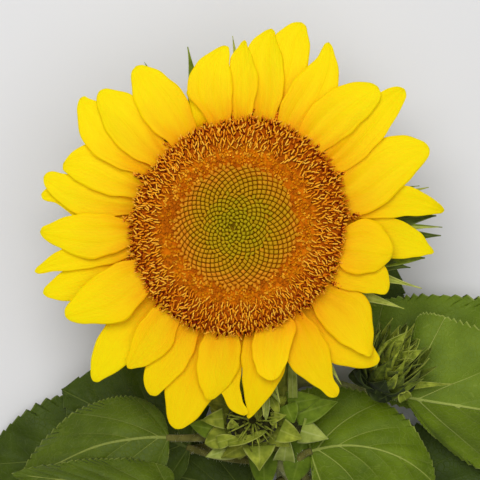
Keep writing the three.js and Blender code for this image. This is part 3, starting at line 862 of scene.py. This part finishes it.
# the long points that reach past the rays: tissue, foot and tip (degrees, radius, height), width, sharpness
for number, (material, foot, tip, width, sharpness) in enumerate((
    (HEAD_BRACT, (111, 62, 76), (105.6, 94, 80), 8, 1.7),
    (HEAD_PALE, (91.3, 70, 80), (91.8, 95.5, 84), 4.5, 1.8),
    (HEAD_BRACT, (121, 70, 80), (120.3, 95.5, 84), 4, 1.6),
    (HEAD_BRACT, (15, 66, 77), (12.2, 92.5, 80), 3.4, 1.6),
    (HEAD_PALE, (11.6, 72, 77), (11, 97, 80), 2.4, 1.2),
    (HEAD_DARK, (0.8, 64, 76), (3.8, 99, 79), 13, 1.3),
    (HEAD_BRACT, (-0.6, 70, 77), (0.4, 102, 80), 3.4, 1.5),
    (HEAD_PALE, (-1, 74, 78), (-0.8, 100, 82), 2.2, 1.5),
    (HEAD_DARK, (355, 66, 75), (357.5, 101.5, 79), 9, 1.3),
    (HEAD_BRACT, (344.5, 62, 74), (349.4, 95, 78), 10, 1.1),
    (HEAD_DARK, (342, 60, 75), (346.6, 88.5, 78), 10, 1.3),
    (HEAD_PALE, (338.2, 62, 78), (341.4, 97, 80), 9, 2.2),
    (HEAD_PALE, (328, 62, 78), (333.7, 92.5, 82), 6, 1.5),
    (HEAD_PALE, (277, 70, 79), (277.6, 97.5, 82), 4.4, 1.3),
    (HEAD_PALE, (281, 66, 79), (283, 92, 83), 2.4, 1.3),
    (HEAD_BRACT, (283, 66, 79), (281.2, 89, 83), 2.4, 1.3),
    (HEAD_PALE, (303, 68, 78), (302, 95.5, 80), 4.6, 1.5),
), 1):
    foot, way = rim_point(*foot), rim_point(*tip) - rim_point(*foot)
    rise = math.atan2(way[2], math.hypot(way[0], way[1]))
    scale = bract(
        f"head_bract_point_{number}", foot, unit(way * LEVEL), UP, np.linalg.norm(way), width, rise + 0.1,
        rise - 0.2, 0.16, 900 + number, 0.8, sharpness,
    )
    fitted(scale, "bract", "outer_bracts", material)

# ---- Stem and neck: the bent, hairy stalk ----
# A stout ribbed stem, rough with stiff pale hairs. It was cut straight through, so its end shows a thin
# green skin round white pith. Under the head it bends upwards into the neck.

STEM_LINE = (
    (34, -208, 9.5), (31, -160, 9.3), (27, -120, 9.1), (21, -84, 8.9), (13, -52, 9.2), (6, -25, 15.5),
    (1, -6, 29), (0, -0.5, 42), (0, 0, 50),
)
CUT_RADIUS = 9.5
PITH_RADIUS = 8.3
NECK_RADIUS = 8
NECK_START = 0.76
STEM_SIDE = np.array((1, 0.02, 0.02))  # where the count round the stem's skin starts
HAIR_LENGTHS = (0.7, 2.0)
HAIR_WIDTHS = (0.12, 0.2)
CLEAR_OF_FLOOR = 0.3
END_SHARE = 0.03  # of a stalk's rows of cells, for closing either end


def stalk_skin(line, radius, side, ribs, depth, first=0.0, last=1.0):
    """A stalk's skin with lengthwise ribs, closed at both ends."""

    def surface(t, s):
        share = first + (last - first) * ((t - END_SHARE) / (1 - 2 * END_SHARE)).clip(0, 1)
        closing = np.minimum(t / END_SHARE, (1 - t) / END_SHARE).clip(0, 1)
        relief = depth * np.cos(ribs * s * math.pi) + depth * 0.5 * np.cos(5 * s * math.pi + 9 * share)
        thick = radius(share) * (1 + relief) * closing
        return line.at(share) + line.around(share, -s * math.pi, side) * thick[:, None]

    return surface


def stem_radius(share):
    return CUT_RADIUS + (NECK_RADIUS - CUT_RADIUS) * share


stem_line = Line(STEM_LINE)
STEM_SKIN = downy("stem_skin", rgb(176, 178, 116), rgb(140, 142, 82), 180, 0.7)
pith_tap = tissue("pith", Roughness=0.9)
pith_flecks = (pith_tap.noise(pith_tap.place(), 700) * 1.4 - 0.3).clamped()
PITH = pith_tap.feed(Base_Color=pith_flecks.mix(rgb(206, 206, 170), rgb(236, 234, 212)))
hair_tap = tissue("hair", Roughness=0.6)
hair_flecks = hair_tap.noise(hair_tap.place(), 300)
HAIR = hair_tap.feed(Base_Color=hair_flecks.mix(rgb(196, 204, 164), rgb(222, 226, 196)))


def hairs_on(name, line, radius, side, first, last, count, seed):
    """Stiff hairs on a stalk between two shares of its length: three-sided spikes, as one piece."""
    draw = np.random.default_rng(seed)
    share = draw.uniform(first, last, count)
    off = line.around(share, draw.uniform(0, 2 * math.pi, count), side)
    ways = unit(off + line.ahead(share) * draw.uniform(-0.2, 0.5, (count, 1)))
    roots = line.at(share) + off * (radius(share) * 0.97)[:, None]
    long, thick = draw.uniform(*HAIR_LENGTHS, count), draw.uniform(*HAIR_WIDTHS, count)
    across = unit(np.cross(ways, (0.31, 0.52, 0.79)))
    axes = np.stack([across, np.cross(ways, across), ways], 2)
    sizes = np.column_stack([thick, thick, long])
    clear = roots[:, 2] + ways[:, 2] * long > CLEAR_OF_FLOOR
    spike = shaped("cone", vertices=3, radius1=0.5, radius2=0, depth=1, location=(0, 0, 0.5))
    fitted(planted(name, spike, roots[clear], axes[clear], sizes[clear]), "stem", None, HAIR)
    bpy.data.objects.remove(spike)


for node, first, last, cells, hairs in (
    ("stem", 0.0, NECK_START, (150, 64), 1500), ("neck", NECK_START + 0.002, 1.0, (60, 64), 500),
):
    skin = stalk_skin(stem_line, stem_radius, STEM_SIDE, 14, 0.035, first, last)
    stalk = grown(f"{node}_skin", cells, skin)
    fitted(stalk, "stem", node, STEM_SKIN, PITH)
    if node == "stem":
        cut = Vector(stem_line.at(0.0) * MM + HEAD)
        way = Vector(stem_line.ahead(0.0))
        for face in stalk.data.polygons:
            from_cut = face.center - cut
            if abs(from_cut.dot(way)) < 0.2 * MM and from_cut.length < PITH_RADIUS * MM:
                face.material_index = 1
    hairs_on(f"{node}_hairs", stem_line, stem_radius, STEM_SIDE, first + 0.01, last, hairs, len(node))

# ---- Side buds: two young heads still wrapped in their bracts ----
# Each is a green knob of unopened florets inside rows of broad, pointed, hairy scales. The front one has
# spread its outer scales wide and curled their points back; the right-hand one is half shut, with long thin
# points.

KNOB_SHAPE = (  # shares of the way up, of the radius, of the height
    (0, 0.1, 0.25, 0.45, 0.7, 0.85, 1),
    (0, 0.5, 0.86, 1, 0.9, 0.55, 0),
    (0, 0, 0.14, 0.4, 0.72, 0.85, 0.8),
)
CORE_CELLS = (30, 48)
SIDE_STALK_CELLS = (60, 24)
OUTER_HEIGHT = 16  # a bud's single scales whose feet are under this belong to its outer bracts
BUD_STALK_FLARE = 1.25
BUD_STALK_HAIRS = (0.03, 0.98, 220)


def stem_node(share, around):
    """A point on the stem's skin and its way out: around is 0 for the right, 90 the top, 180 the left."""
    ahead = stem_line.ahead(share)
    right = unit(np.cross(ahead, UP))
    top = np.cross(right, ahead)
    out = right * math.cos(math.radians(around)) + top * math.sin(math.radians(around))
    return stem_line.at(share) + out * stem_radius(share), out


def side_stalk(names, replaced, skin, node, end, arriving, bow, radii, hairs, seed):
    """A stalk that leaves the stem at its node, square to the skin, and arrives at end along arriving.
    names are its skin's and hairs', radii its ends', and hairs the shares they span and their number."""
    start, out = node
    u = np.linspace(0, 1, 17)[:, None]
    path = (
        (1 - u)**3 * start + 3 * u * (1 - u)**2 * (start + out * bow)
        + 3 * u**2 * (1 - u) * (end - arriving * bow) + u**3 * end
    )
    line = Line(np.vstack([start - out * 1.5, path]))

    def thick(share):
        return (radii[0] + (radii[1] - radii[0]) * share) * (1 + 0.5 * np.exp(-((share / 0.05) ** 2)))

    side = np.cross(arriving, out) + [0.05, 0.07, 0.11]
    stalk = grown(names[0], SIDE_STALK_CELLS, stalk_skin(line, thick, side, 7, 0.05))
    fitted(stalk, "stem", replaced, skin)
    hairs_on(names[1], line, thick, side, *hairs, seed)


def bud(name, lean, core_size, whorls, placed, node, bow, stalk_radius, seed, materials):
    """whorls are rings of like scales; placed are the single ones that show, from the bud's foot."""
    core_low, core_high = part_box(f"{name}_core")
    middle = (np.array((core_low + core_high) / 2) - HEAD) / MM
    radius, height = core_size
    place = middle - lean * height / 2
    east = unit((1, 0, 0) - lean * lean[0])
    north = np.cross(lean, east)

    def core_surface(t, s):
        r = radius * np.interp(t, KNOB_SHAPE[0], KNOB_SHAPE[1])
        z = height * np.interp(t, KNOB_SHAPE[0], KNOB_SHAPE[2])
        r = r * (1 + 0.04 * np.cos(9 * s * math.pi + 7 * t))
        angle = -s * math.pi
        sideways = np.outer(r * np.cos(angle), east) + np.outer(r * np.sin(angle), north)
        return place + sideways + np.outer(z, lean)

    fitted(grown(f"{name}_knob", CORE_CELLS, core_surface), "bud", f"{name}_core", materials[0])
    draw = np.random.default_rng(seed)
    for row, whorl in enumerate(whorls):
        tone, replaced, count, foot, rise_at, length, width, rise, curl, cup, turn = whorl
        scales = []
        for i in range(count):
            angle = math.radians(turn + 360 * i / count + draw.uniform(-9, 9))
            out = east * math.cos(angle) + north * math.sin(angle)
            scales.append(bract(
                "scale", place + out * foot * draw.uniform(0.9, 1.1) + lean * rise_at, out, lean,
                length * draw.uniform(0.8, 1.15), width * draw.uniform(0.85, 1.12),
                math.radians(rise + draw.uniform(-11, 11)), math.radians(curl + draw.uniform(-26, 26)),
                cup * draw.uniform(0.6, 1.3), seed * 1000 + row * 50 + i, point=1.1 if width > 8 else 1.9,
            ))
        fitted(joined(f"{name}_scales_{row + 1}", scales), "bract", f"{name}_{replaced}", materials[tone])
    for i, single in enumerate(placed):
        tone, x, y, z, heading, roll, length, width, rise, curl, cup, foot, point = single
        heading, roll, rise, curl = np.radians((heading, roll, rise, curl))
        scale = bract(
            f"{name}_scale_{i + 1}", place + [x, y, z], round_head(heading, 1, 0), UP, length, width, rise,
            curl, cup, seed * 77 + i, foot, point, roll,
        )
        row_name = "outer_bracts" if z < OUTER_HEIGHT else "inner_bracts"
        fitted(scale, "bract", f"{name}_{row_name}", materials[tone])
    side_stalk(
        (f"{name}_stalk_skin", f"{name}_stalk_hairs"), f"{name}_stalk", STEM_SKIN, node, place, lean, bow,
        (stalk_radius * BUD_STALK_FLARE, stalk_radius), BUD_STALK_HAIRS, seed,
    )


# painted shade: the front bud's knob is a dark olive brown, for the shade deep in the middle of the bud
BUD_KNOB_PAINTED_SHADE = downy("bud_knob", rgb(62, 60, 16), rgb(30, 32, 6), 500)
BUD_OLIVE = bract_tissue("bud_scale_olive", rgb(136, 140, 38), rgb(88, 96, 18), rgb(170, 170, 78))
BUD_LIGHT = bract_tissue("bud_scale_light", rgb(160, 168, 54), rgb(104, 116, 26), rgb(196, 198, 108))
BUD_PALE = bract_tissue("bud_scale_pale", rgb(168, 178, 86), rgb(126, 140, 50), rgb(208, 212, 150))
BUD_GREEN = bract_tissue("bud_scale_green", rgb(118, 140, 30), rgb(88, 110, 16), rgb(168, 182, 88))
# painted shade: a darker copy of the scale green, for the two big low scales under the front bud
BUD_PAINTED_SHADE = bract_tissue("bud_scale_painted_shade", rgb(98, 120, 20), rgb(74, 94, 12), rgb(140, 152, 66))
bud(
    "front_bud", UP, (13.5, 23),
    # tone, replaces, count, foot radius, height, length, width, rise, curl, cup, turn
    (
        (1, "outer_bracts", 11, 10, 4, 17, 10, -15, -70, -0.1, 10),
        (2, "inner_bracts", 10, 11, 10, 12, 9, 10, -35, -0.12, 0),
        (1, "inner_bracts", 12, 10.5, 16, 9, 5, 60, 130, 0.1, 12),
        (2, "inner_bracts", 20, 7, 19, 8, 0.8, 40, 10, 0.1, 0),
        (1, "inner_bracts", 20, 4, 19.5, 8, 0.7, 60, 150, 0.1, 20),
        (2, "inner_bracts", 11, 2, 20, 9, 0.7, 35, -10, 0.1, 5),
    ),
    # tone, x, y, z of the foot, heading, roll, length, width, rise, curl, cup, breadth of foot, sharpness
    (
        (2, -15, 1, 20, 186, 0, 12.5, 10.5, -5, -40, 0.15, 2.5, 1.35),
        (1, -15, 8, 17, 176, 0, 9, 9, -5, -25, 0.1, 2, 0.9),
        (4, -17, -6, 12, 170, 0, 16, 11, 0, -25, -0.1, 0.6, 1),
        (2, -13.5, -8, 15, 200, 0, 13, 12, 8, -50, -0.2, 1, 0.8),
        (2, -10, -4, 20, 100, 0, 5, 6, 10, 0, 0.1, 1, 1.2),
        (2, -18, -11.5, 18, 15, 0, 10, 7, 5, 10, 0.15, 0.8, 1),
        (2, -12.5, -12, 20, 13, 45, 20.5, 6.5, 2, 8, 0.1, 0.3, 0.8),
        (1, -3, -12, 16, 212, 0, 16, 11, -5, -25, -0.15, 0.8, 1.2),
        (3, -8, -14, 12, 202, 0, 18, 11, -5, -25, -0.15, 0.6, 1.2),
        (2, 3.3, -13.5, 15, 274, 0, 14, 17, -5, -35, 0.14, 2.5, 1.45),
        (3, 16.5, -23, -1.5, 83, 0, 18, 11.5, 46, 8, 0.15, 1.8, 1.1),
        (5, 5, -12, -5, 275, 0, 27, 16, -3, -8, -0.05, 1.2, 0.7),
        (2, 14, -5, 19, -24, 0, 12.5, 12.5, -4, -20, 0.15, 2.5, 1),
        (3, 25, -6, 12, -17, 0, 15, 13, 0, -15, -0.12, 1.5, 1.2),
        (4, 17.2, 7.6, 15.5, -68, 0, 10.5, 11, 0, -20, 0.12, 1.2, 1),
        (4, 18.3, 8, 13, 10, 0, 17, 12, 0, -10, -0.1, 1.2, 1.1),
        (4, 22, 2, 10, 18, 0, 23, 13, 2, 6, 0.12, 0.6, 1.1),
        (2, 9.5, 1.4, 21, 8, 0, 8, 5.5, 10, 0, 0.15, 1.2, 1.3),
        (2, 9.8, 0.8, 20.5, -66, 0, 5.5, 3.5, 0, -20, 0.15, 1, 1),
        (3, 6.9, 12, 24, -90, 0, 12, 3.4, 0, -20, 0.2, 0.8, 0.8),
        (2, 9.5, 12, 22, -65, 0, 9.5, 4.8, 0, -20, 0.2, 0.8, 0.8),
        (3, 9.5, 14.9, 25, -48, 0, 7, 1.4, 0, -10, 0.1, 1, 1),
        (2, 3.5, 6, 21, -100, 0, 6, 4.2, 5, 20, 0.2, 1, 0.9),
        (5, 27, -10, -1, -102, 0, 26, 19, 0, -8, -0.05, 1.5, 0.7),
        (3, 20.8, 11, 14, 92, 0, 22, 4.6, 2, 0, 0.05, 2.5, 0.4),
        (1, 16, 12, 12, 86, 0, 20, 8, 2, 0, 0.1, 1.5, 0.7),
    ),
    stem_node(0.33, 95), 26, 3.6, 5, (BUD_KNOB_PAINTED_SHADE, BUD_OLIVE, BUD_LIGHT, BUD_PALE, BUD_GREEN, BUD_PAINTED_SHADE),
)
RIGHT_KNOB = downy("right_bud_knob", rgb(150, 158, 44), rgb(110, 120, 24), 500)
RIGHT_LIGHT = bract_tissue("right_scale_light", rgb(160, 170, 54), rgb(100, 114, 24), rgb(190, 196, 100))
# painted shade: a near-black green for the outer whorl and the broad scales round the right bud's foot,
# standing for the shade under the bud
RIGHT_PAINTED_SHADE = bract_tissue("right_scale_painted_shade", rgb(48, 60, 18), rgb(26, 34, 8), rgb(110, 124, 56))
RIGHT_DARK = bract_tissue("right_scale_dark", rgb(116, 130, 34), rgb(50, 62, 10), rgb(160, 168, 80))
bud(
    "right_bud", unit([0.36, 0.66, 0.66]), (10.5, 24),
    (
        (3, "outer_bracts", 10, 7.5, 1, 22, 12, 30, 108, 0.18, 0),
        (1, "outer_bracts", 12, 10, 4, 24, 8.5, 60, 84, 0.2, 14),
        (2, "inner_bracts", 12, 10, 9, 24, 8, 72, 104, 0.2, 4),
        (1, "inner_bracts", 12, 9, 13, 21, 7, 76, 76, 0.2, 20),
        (2, "inner_bracts", 10, 5.5, 17, 18, 6, 82, 124, 0.2, 8),
        (2, "inner_bracts", 8, 3.5, 19, 16, 4.4, 80, 60, 0.2, 25),
    ),
    (
        (2, 8, -1, 8, 2, 0, 30, 4.6, 4, 0, 0.14, 0.6, 1.6),
        (1, 5, -6, 12, 30, 0, 20, 5, 25, -10, 0.14, 0.6, 1.5),
        (2, 4, -1, 20, 64, 0, 12, 4.4, 30, 60, 0.16, 0.8, 1.4),
        (2, 4, 18, 18, 50, 0, 13, 9, 30, -20, 0.15, 1.2, 1.2),
        (2, 9, 12, 16, 28, 0, 14, 8, 20, -20, 0.15, 1.2, 1.2),
        # the four broad scales of tone 3 round the foot are painted shade
        (3, -3, 4, 9, 180, 0, 14, 13, 0, -30, 0.12, 1.5, 0.8),
        (3, -1, -1, 9, 246, 0, 8, 13, 0, -40, 0.12, 1.5, 0.8),
        (3, 2, -3, 8, 280, 0, 7.5, 16, 0, -40, 0.12, 1.5, 0.8),
        (3, -2, 3, 9, 140, 0, 14, 15, 10, -10, 0.12, 1.5, 0.8),
        (2, 13, -8, 12, 120, 0, 9, 7, 10, 130, 0.3, 1.5, 0.6),
    ),
    stem_node(0.53, 12), 20, 2.8, 6, (RIGHT_KNOB, RIGHT_DARK, RIGHT_LIGHT, RIGHT_PAINTED_SHADE),
)

# ---- Leaves: heart-shaped blades on long stalks ----
# Rough green blades with a toothed margin. A midrib and a few pairs of side veins, the lowest pair from the
# blade's foot, divide it into panels that bulge between them. Each stalk grows from the stem's skin.

VEINS = (0.16, 0.5, 0.69, 0.81, 0.9, 0.955)  # shares of the margin that the side veins run to
LEAF_CELLS = (180, 56)
LEAF_THICKNESS = 0.5 * MM
LEAF_STALK_RADII = (2.99, 1.725)
LEAF_STALK_HAIRS = (0.04, 0.96, 160)
SHARE_POWER = 1.5  # a row of cells at u runs to this power of u as a share of the margin
VEIN_START = 4.2  # a vein to share s of the margin leaves the midrib at share s to this power
LOBE_FACTOR = 4.8  # brings the lobe's curve to a greatest value of 1
TIP_POWER = 0.9


def blade_points(base, heading, turn, rise, droop, roll, fold, length):
    """The blade's surface, as a function of distances along and across it and of lift off it."""
    fine = np.linspace(0, 1, 25)

    def axes(t):
        azimuth, slope = np.radians(heading + turn * t), np.radians(rise + droop * t)
        ahead = round_head(azimuth, np.cos(slope), np.sin(slope))
        left = np.stack([-np.sin(azimuth), np.cos(azimuth), 0 * azimuth], -1)
        up = np.cross(ahead, left)
        lean, sway = math.cos(math.radians(roll)), math.sin(math.radians(roll))
        return ahead, left * lean + up * sway, up * lean - left * sway

    steps = axes((fine[:-1] + fine[1:]) / 2)[0] * length / 24
    midrib = np.vstack([base, np.array(base) + np.cumsum(steps, 0)])
    bend = math.radians(fold)

    def at(along, across, lift):
        t = (along / length).clip(0, 1)
        ahead, left, up = axes(t)
        spine = np.stack([np.interp(t, fine, midrib[:, k]) for k in range(3)], -1)
        return (
            spine + ahead * np.minimum(along, 0)[:, None] + left * (across * math.cos(bend))[:, None]
            + up * (np.abs(across) * math.sin(bend) + lift)[:, None]
        )

    return at


def leaf(
    name, base, heading, turn, rise, droop, roll, fold, length, left, right,
    node, bow, top, pitch, wave, seed,
):
    """left and right are the halves: width, how square the foot is (low is square), and the lobe's share.
    pitch is the distance between teeth, and wave how far the margin ripples."""
    at = blade_points(base, heading, turn, rise, droop, roll, fold, length)
    draw = np.random.default_rng(seed)
    phases = draw.uniform(0, 6.3, 4)

    def margin(share, width, foot=0.5, lobe=0.1):
        widest = foot / (foot + TIP_POWER)
        along = length * (share - lobe * LOBE_FACTOR * np.sqrt(share) * (1 - share) ** 4)
        across = width * (share / widest) ** foot * ((1 - share) / (1 - widest)) ** TIP_POWER
        return np.array([along, across])

    def layout(u, s):
        """Places along and across the blade. Rows of even u run from midrib to margin, as veins do."""
        share = u**SHARE_POWER
        w = np.abs(s)
        edge_along, edge_across = np.where(s > 0, margin(share, *left), margin(share, *right))
        start = length * share**VEIN_START
        teeth = 1 - (u * length * 1.25 / pitch + 0.15 * np.sign(s) + 0.4 * np.sin(13 * u + phases[3])) % 1
        depth = pitch * (0.5 + 0.25 * np.sin(29 * u + phases[0] + s))
        tooth = depth * (teeth - 0.5) * w**9 * np.sin(math.pi * share).clip(0, 1) ** 0.4
        along = start + (edge_along - start) * w + tooth * 0.3
        across = np.sign(s) * (edge_across * w**0.92 + tooth)
        return share, along, across

    def relief(share, w, along, across):
        panels = np.array((0,) + VEINS + (1,))
        k = np.searchsorted(panels, share, side="right").clip(1, len(panels) - 1)
        inside = (share - panels[k - 1]) / (panels[k] - panels[k - 1])
        bulge = 0.9 * np.sin(math.pi * inside.clip(0, 1)) * np.sin(math.pi * w.clip(0, 1)) ** 0.8
        ripples = wave * w**3 * np.sin(2 * math.pi * share * 3.5 + phases[0] + 2 * np.sign(across))
        uneven = 0.5 * np.sin(along * 0.2 + phases[1]) * np.sin(across * 0.22 + phases[2])
        return bulge + ripples + uneven

    def surface(u, s):
        share, along, across = layout(u, s)
        return at(along, across, relief(share, np.abs(s), along, across))

    def marks(u, s):
        along, across = layout(u, s)[1:]
        # to the midrib, which tapers
        gap = np.abs(across) / (1 - 0.75 * (along / length).clip(0, 1)) - 0.25
        for vein in VEINS:
            vein_along, vein_across = layout(np.full_like(u, vein ** (1 / SHARE_POWER)), s)[1:]
            apart = np.hypot(along - vein_along, across - vein_across)
            gap = np.minimum(gap, apart / (1 - 0.6 * np.abs(s)) + 0.12)
        # the margin is pale as well
        return {"off_vein": np.minimum(gap, 0.25 + (1 - np.abs(s)) * 28)}

    blade = grown(f"{name}_blade", LEAF_CELLS, surface, marks)
    thicken(blade, LEAF_THICKNESS, -1, 1)
    fitted(blade, "leaf", name, top, LEAF_BACK)
    ahead = unit(at(np.array([1.0]), np.array([0.0]), np.array([0.0]))[0] - base)
    side_stalk(
        (f"{name}_stalk", f"{name}_hairs"), name, PETIOLE, node, base + ahead * length * 0.015, ahead, bow,
        LEAF_STALK_RADII, LEAF_STALK_HAIRS, seed,
    )


def leaf_tissue(name, colour, darker, vein, roughness=0.5):
    """Leaf tissue: pale main veins, a fine net of small veins and soft patches of darker green."""
    tap = tissue(
        name, Roughness=roughness, Specular_IOR_Level=0.15, Sheen_Weight=0.04, Sheen_Roughness=0.4
    )
    place = tap.place()
    patches = tap.noise(place, 45, 4.0, 0.6)
    skin = ((patches - 0.3) * 2.2).clamped().mix(darker, colour)
    net = tap.node("TexVoronoi", {"feature": "DISTANCE_TO_EDGE"}, {"Vector": place, "Scale": 330.0})
    fine_net = (1 - net * 14).clamped()
    off_vein = tap.attribute("off_vein")
    main = (1 - (off_vein - 0.35) * 2.2).clamped()
    veins = main * 0.85 + fine_net * 0.16 * (1 - main)
    return tap.feed(
        Base_Color=veins.mix(skin, vein),
        Normal=tap.dots(tap.noise(place, 900, 3.0) * 0.5 + main * 0.8 - fine_net * 0.35, 0.35 * MM),
    )


LEAF_BRIGHT = leaf_tissue("leaf_bright", rgb(110, 132, 20), rgb(83, 104, 11), rgb(162, 174, 84))
# painted light: a brighter copy of the leaf green for leaf_right_back, which lies in the shade of the head
# and the leaves over it
LEAF_PAINTED_LIGHT = leaf_tissue("leaf_painted_light", rgb(108, 131, 24), rgb(83, 105, 12), rgb(150, 164, 80))
LEAF_FRONT = leaf_tissue("leaf_front", rgb(106, 128, 17), rgb(76, 96, 9), rgb(150, 162, 72))
LEAF_LEFT = leaf_tissue("leaf_left", rgb(87, 105, 15), rgb(66, 82, 8), rgb(132, 142, 62))
# painted shade: a darker copy of the leaf green for the leaves that lie low, under the head and the other
# leaves
LEAF_PAINTED_SHADE = leaf_tissue("leaf_painted_shade", rgb(73, 91, 15), rgb(50, 65, 8), rgb(98, 112, 44))
# painted shade: the darkest copy of the leaf green, for leaf_low_right, which lies low on the right under
# the others
LEAF_PAINTED_DEEP_SHADE = leaf_tissue("leaf_painted_deep_shade", rgb(60, 79, 8), rgb(40, 55, 4), rgb(86, 102, 34))
LEAF_BACK = leaf_tissue("leaf_back", rgb(124, 140, 52), rgb(100, 118, 36), rgb(164, 174, 100), 0.7)
PETIOLE = downy("petiole", rgb(128, 124, 60), rgb(94, 92, 38), 260)

for seed, (name, base, *shape, root, bow, top, pitch, wave) in enumerate((
    # name, foot, heading, turn, rise, droop, roll, fold, length, left half, right half, where its stalk
    # leaves the stem (share of the length, degrees around), the stalk's bow, the top's tissue, pitch, wave
    ("leaf_left_front", (-37.5, -110, 56), 176, 52, 4, -14, 20, -15, 90, (26, 0.4, 0.04),
     (26.5, 0.35, -0.03), (0.44, 150), 24, LEAF_LEFT, 3.2, 1.2),
    ("leaf_left_low", (-36, -137, 73), 172, 2, 4, -12, 15, -30, 82, (15,),
     (19, 0.3, 0.05), (0.3, 140), 28, LEAF_LEFT, 3.2, 1.2),
    ("leaf_right_front", (36, -118, 47), 20, -70, 14, -30, -8, -22, 73, (35.5, 0.2, 0.1),
     (33, 0.25, 0.2), (0.3, 60), 20, LEAF_FRONT, 2.8, 1.2),
    ("leaf_right", (86, -90, 40), -10, 6, 8, -24, 16, -22, 128, (46, 0.12, 0.05),
     (45, 0.9, 0), (0.44, 20), 22, LEAF_BRIGHT, 4.6, 1.2),
    ("leaf_right_back", (70, -66, 22), 2, 4, 4, -25, -6, -4, 120, (28, 0.35),
     (34,), (0.58, 5), 16, LEAF_PAINTED_LIGHT, 5.0, 1.2),
    ("leaf_under_head_right", (50, -57, 11), 66, -4, 2, -22, 0, -8, 60, (28,),
     (32,), (0.69, -10), 8, LEAF_PAINTED_SHADE, 5.0, 1.2),
    ("leaf_under_head_left", (-22, 2, 24), 132, 6, -8, -22, 0, -8, 72, (26,),
     (26,), (0.86, 175), 8, LEAF_PAINTED_SHADE, 5.0, 1.2),
    ("leaf_left_back", (-28, -118, 27), 158, -4, 6, -24, 4, -8, 76, (30,),
     (46,), (0.36, 178), 16, LEAF_PAINTED_SHADE, 5.0, 1.2),
    ("leaf_far_left", (-50, -124, 17), 181, 6, 2, -22, 3, -5, 96, (36,),
     (37,), (0.42, 190), 16, LEAF_PAINTED_SHADE, 5.0, 1.2),
    ("leaf_low_right", (78, -140, 10), -4, -6, 2, -12, 0, -6, 106, (34, 0.25),
     (30,), (0.26, 0), 16, LEAF_PAINTED_DEEP_SHADE, 5.0, 1.2),
    ("leaf_low_left", (6, -146, 6), 165, 4, 0, -4, 0, -4, 84, (28,),
     (28,), (0.24, 180), 6, LEAF_PAINTED_SHADE, 5.0, 0.5),
), 21):
    leaf(name, np.array(base), *shape, stem_node(*root), bow, top, pitch, wave, seed)
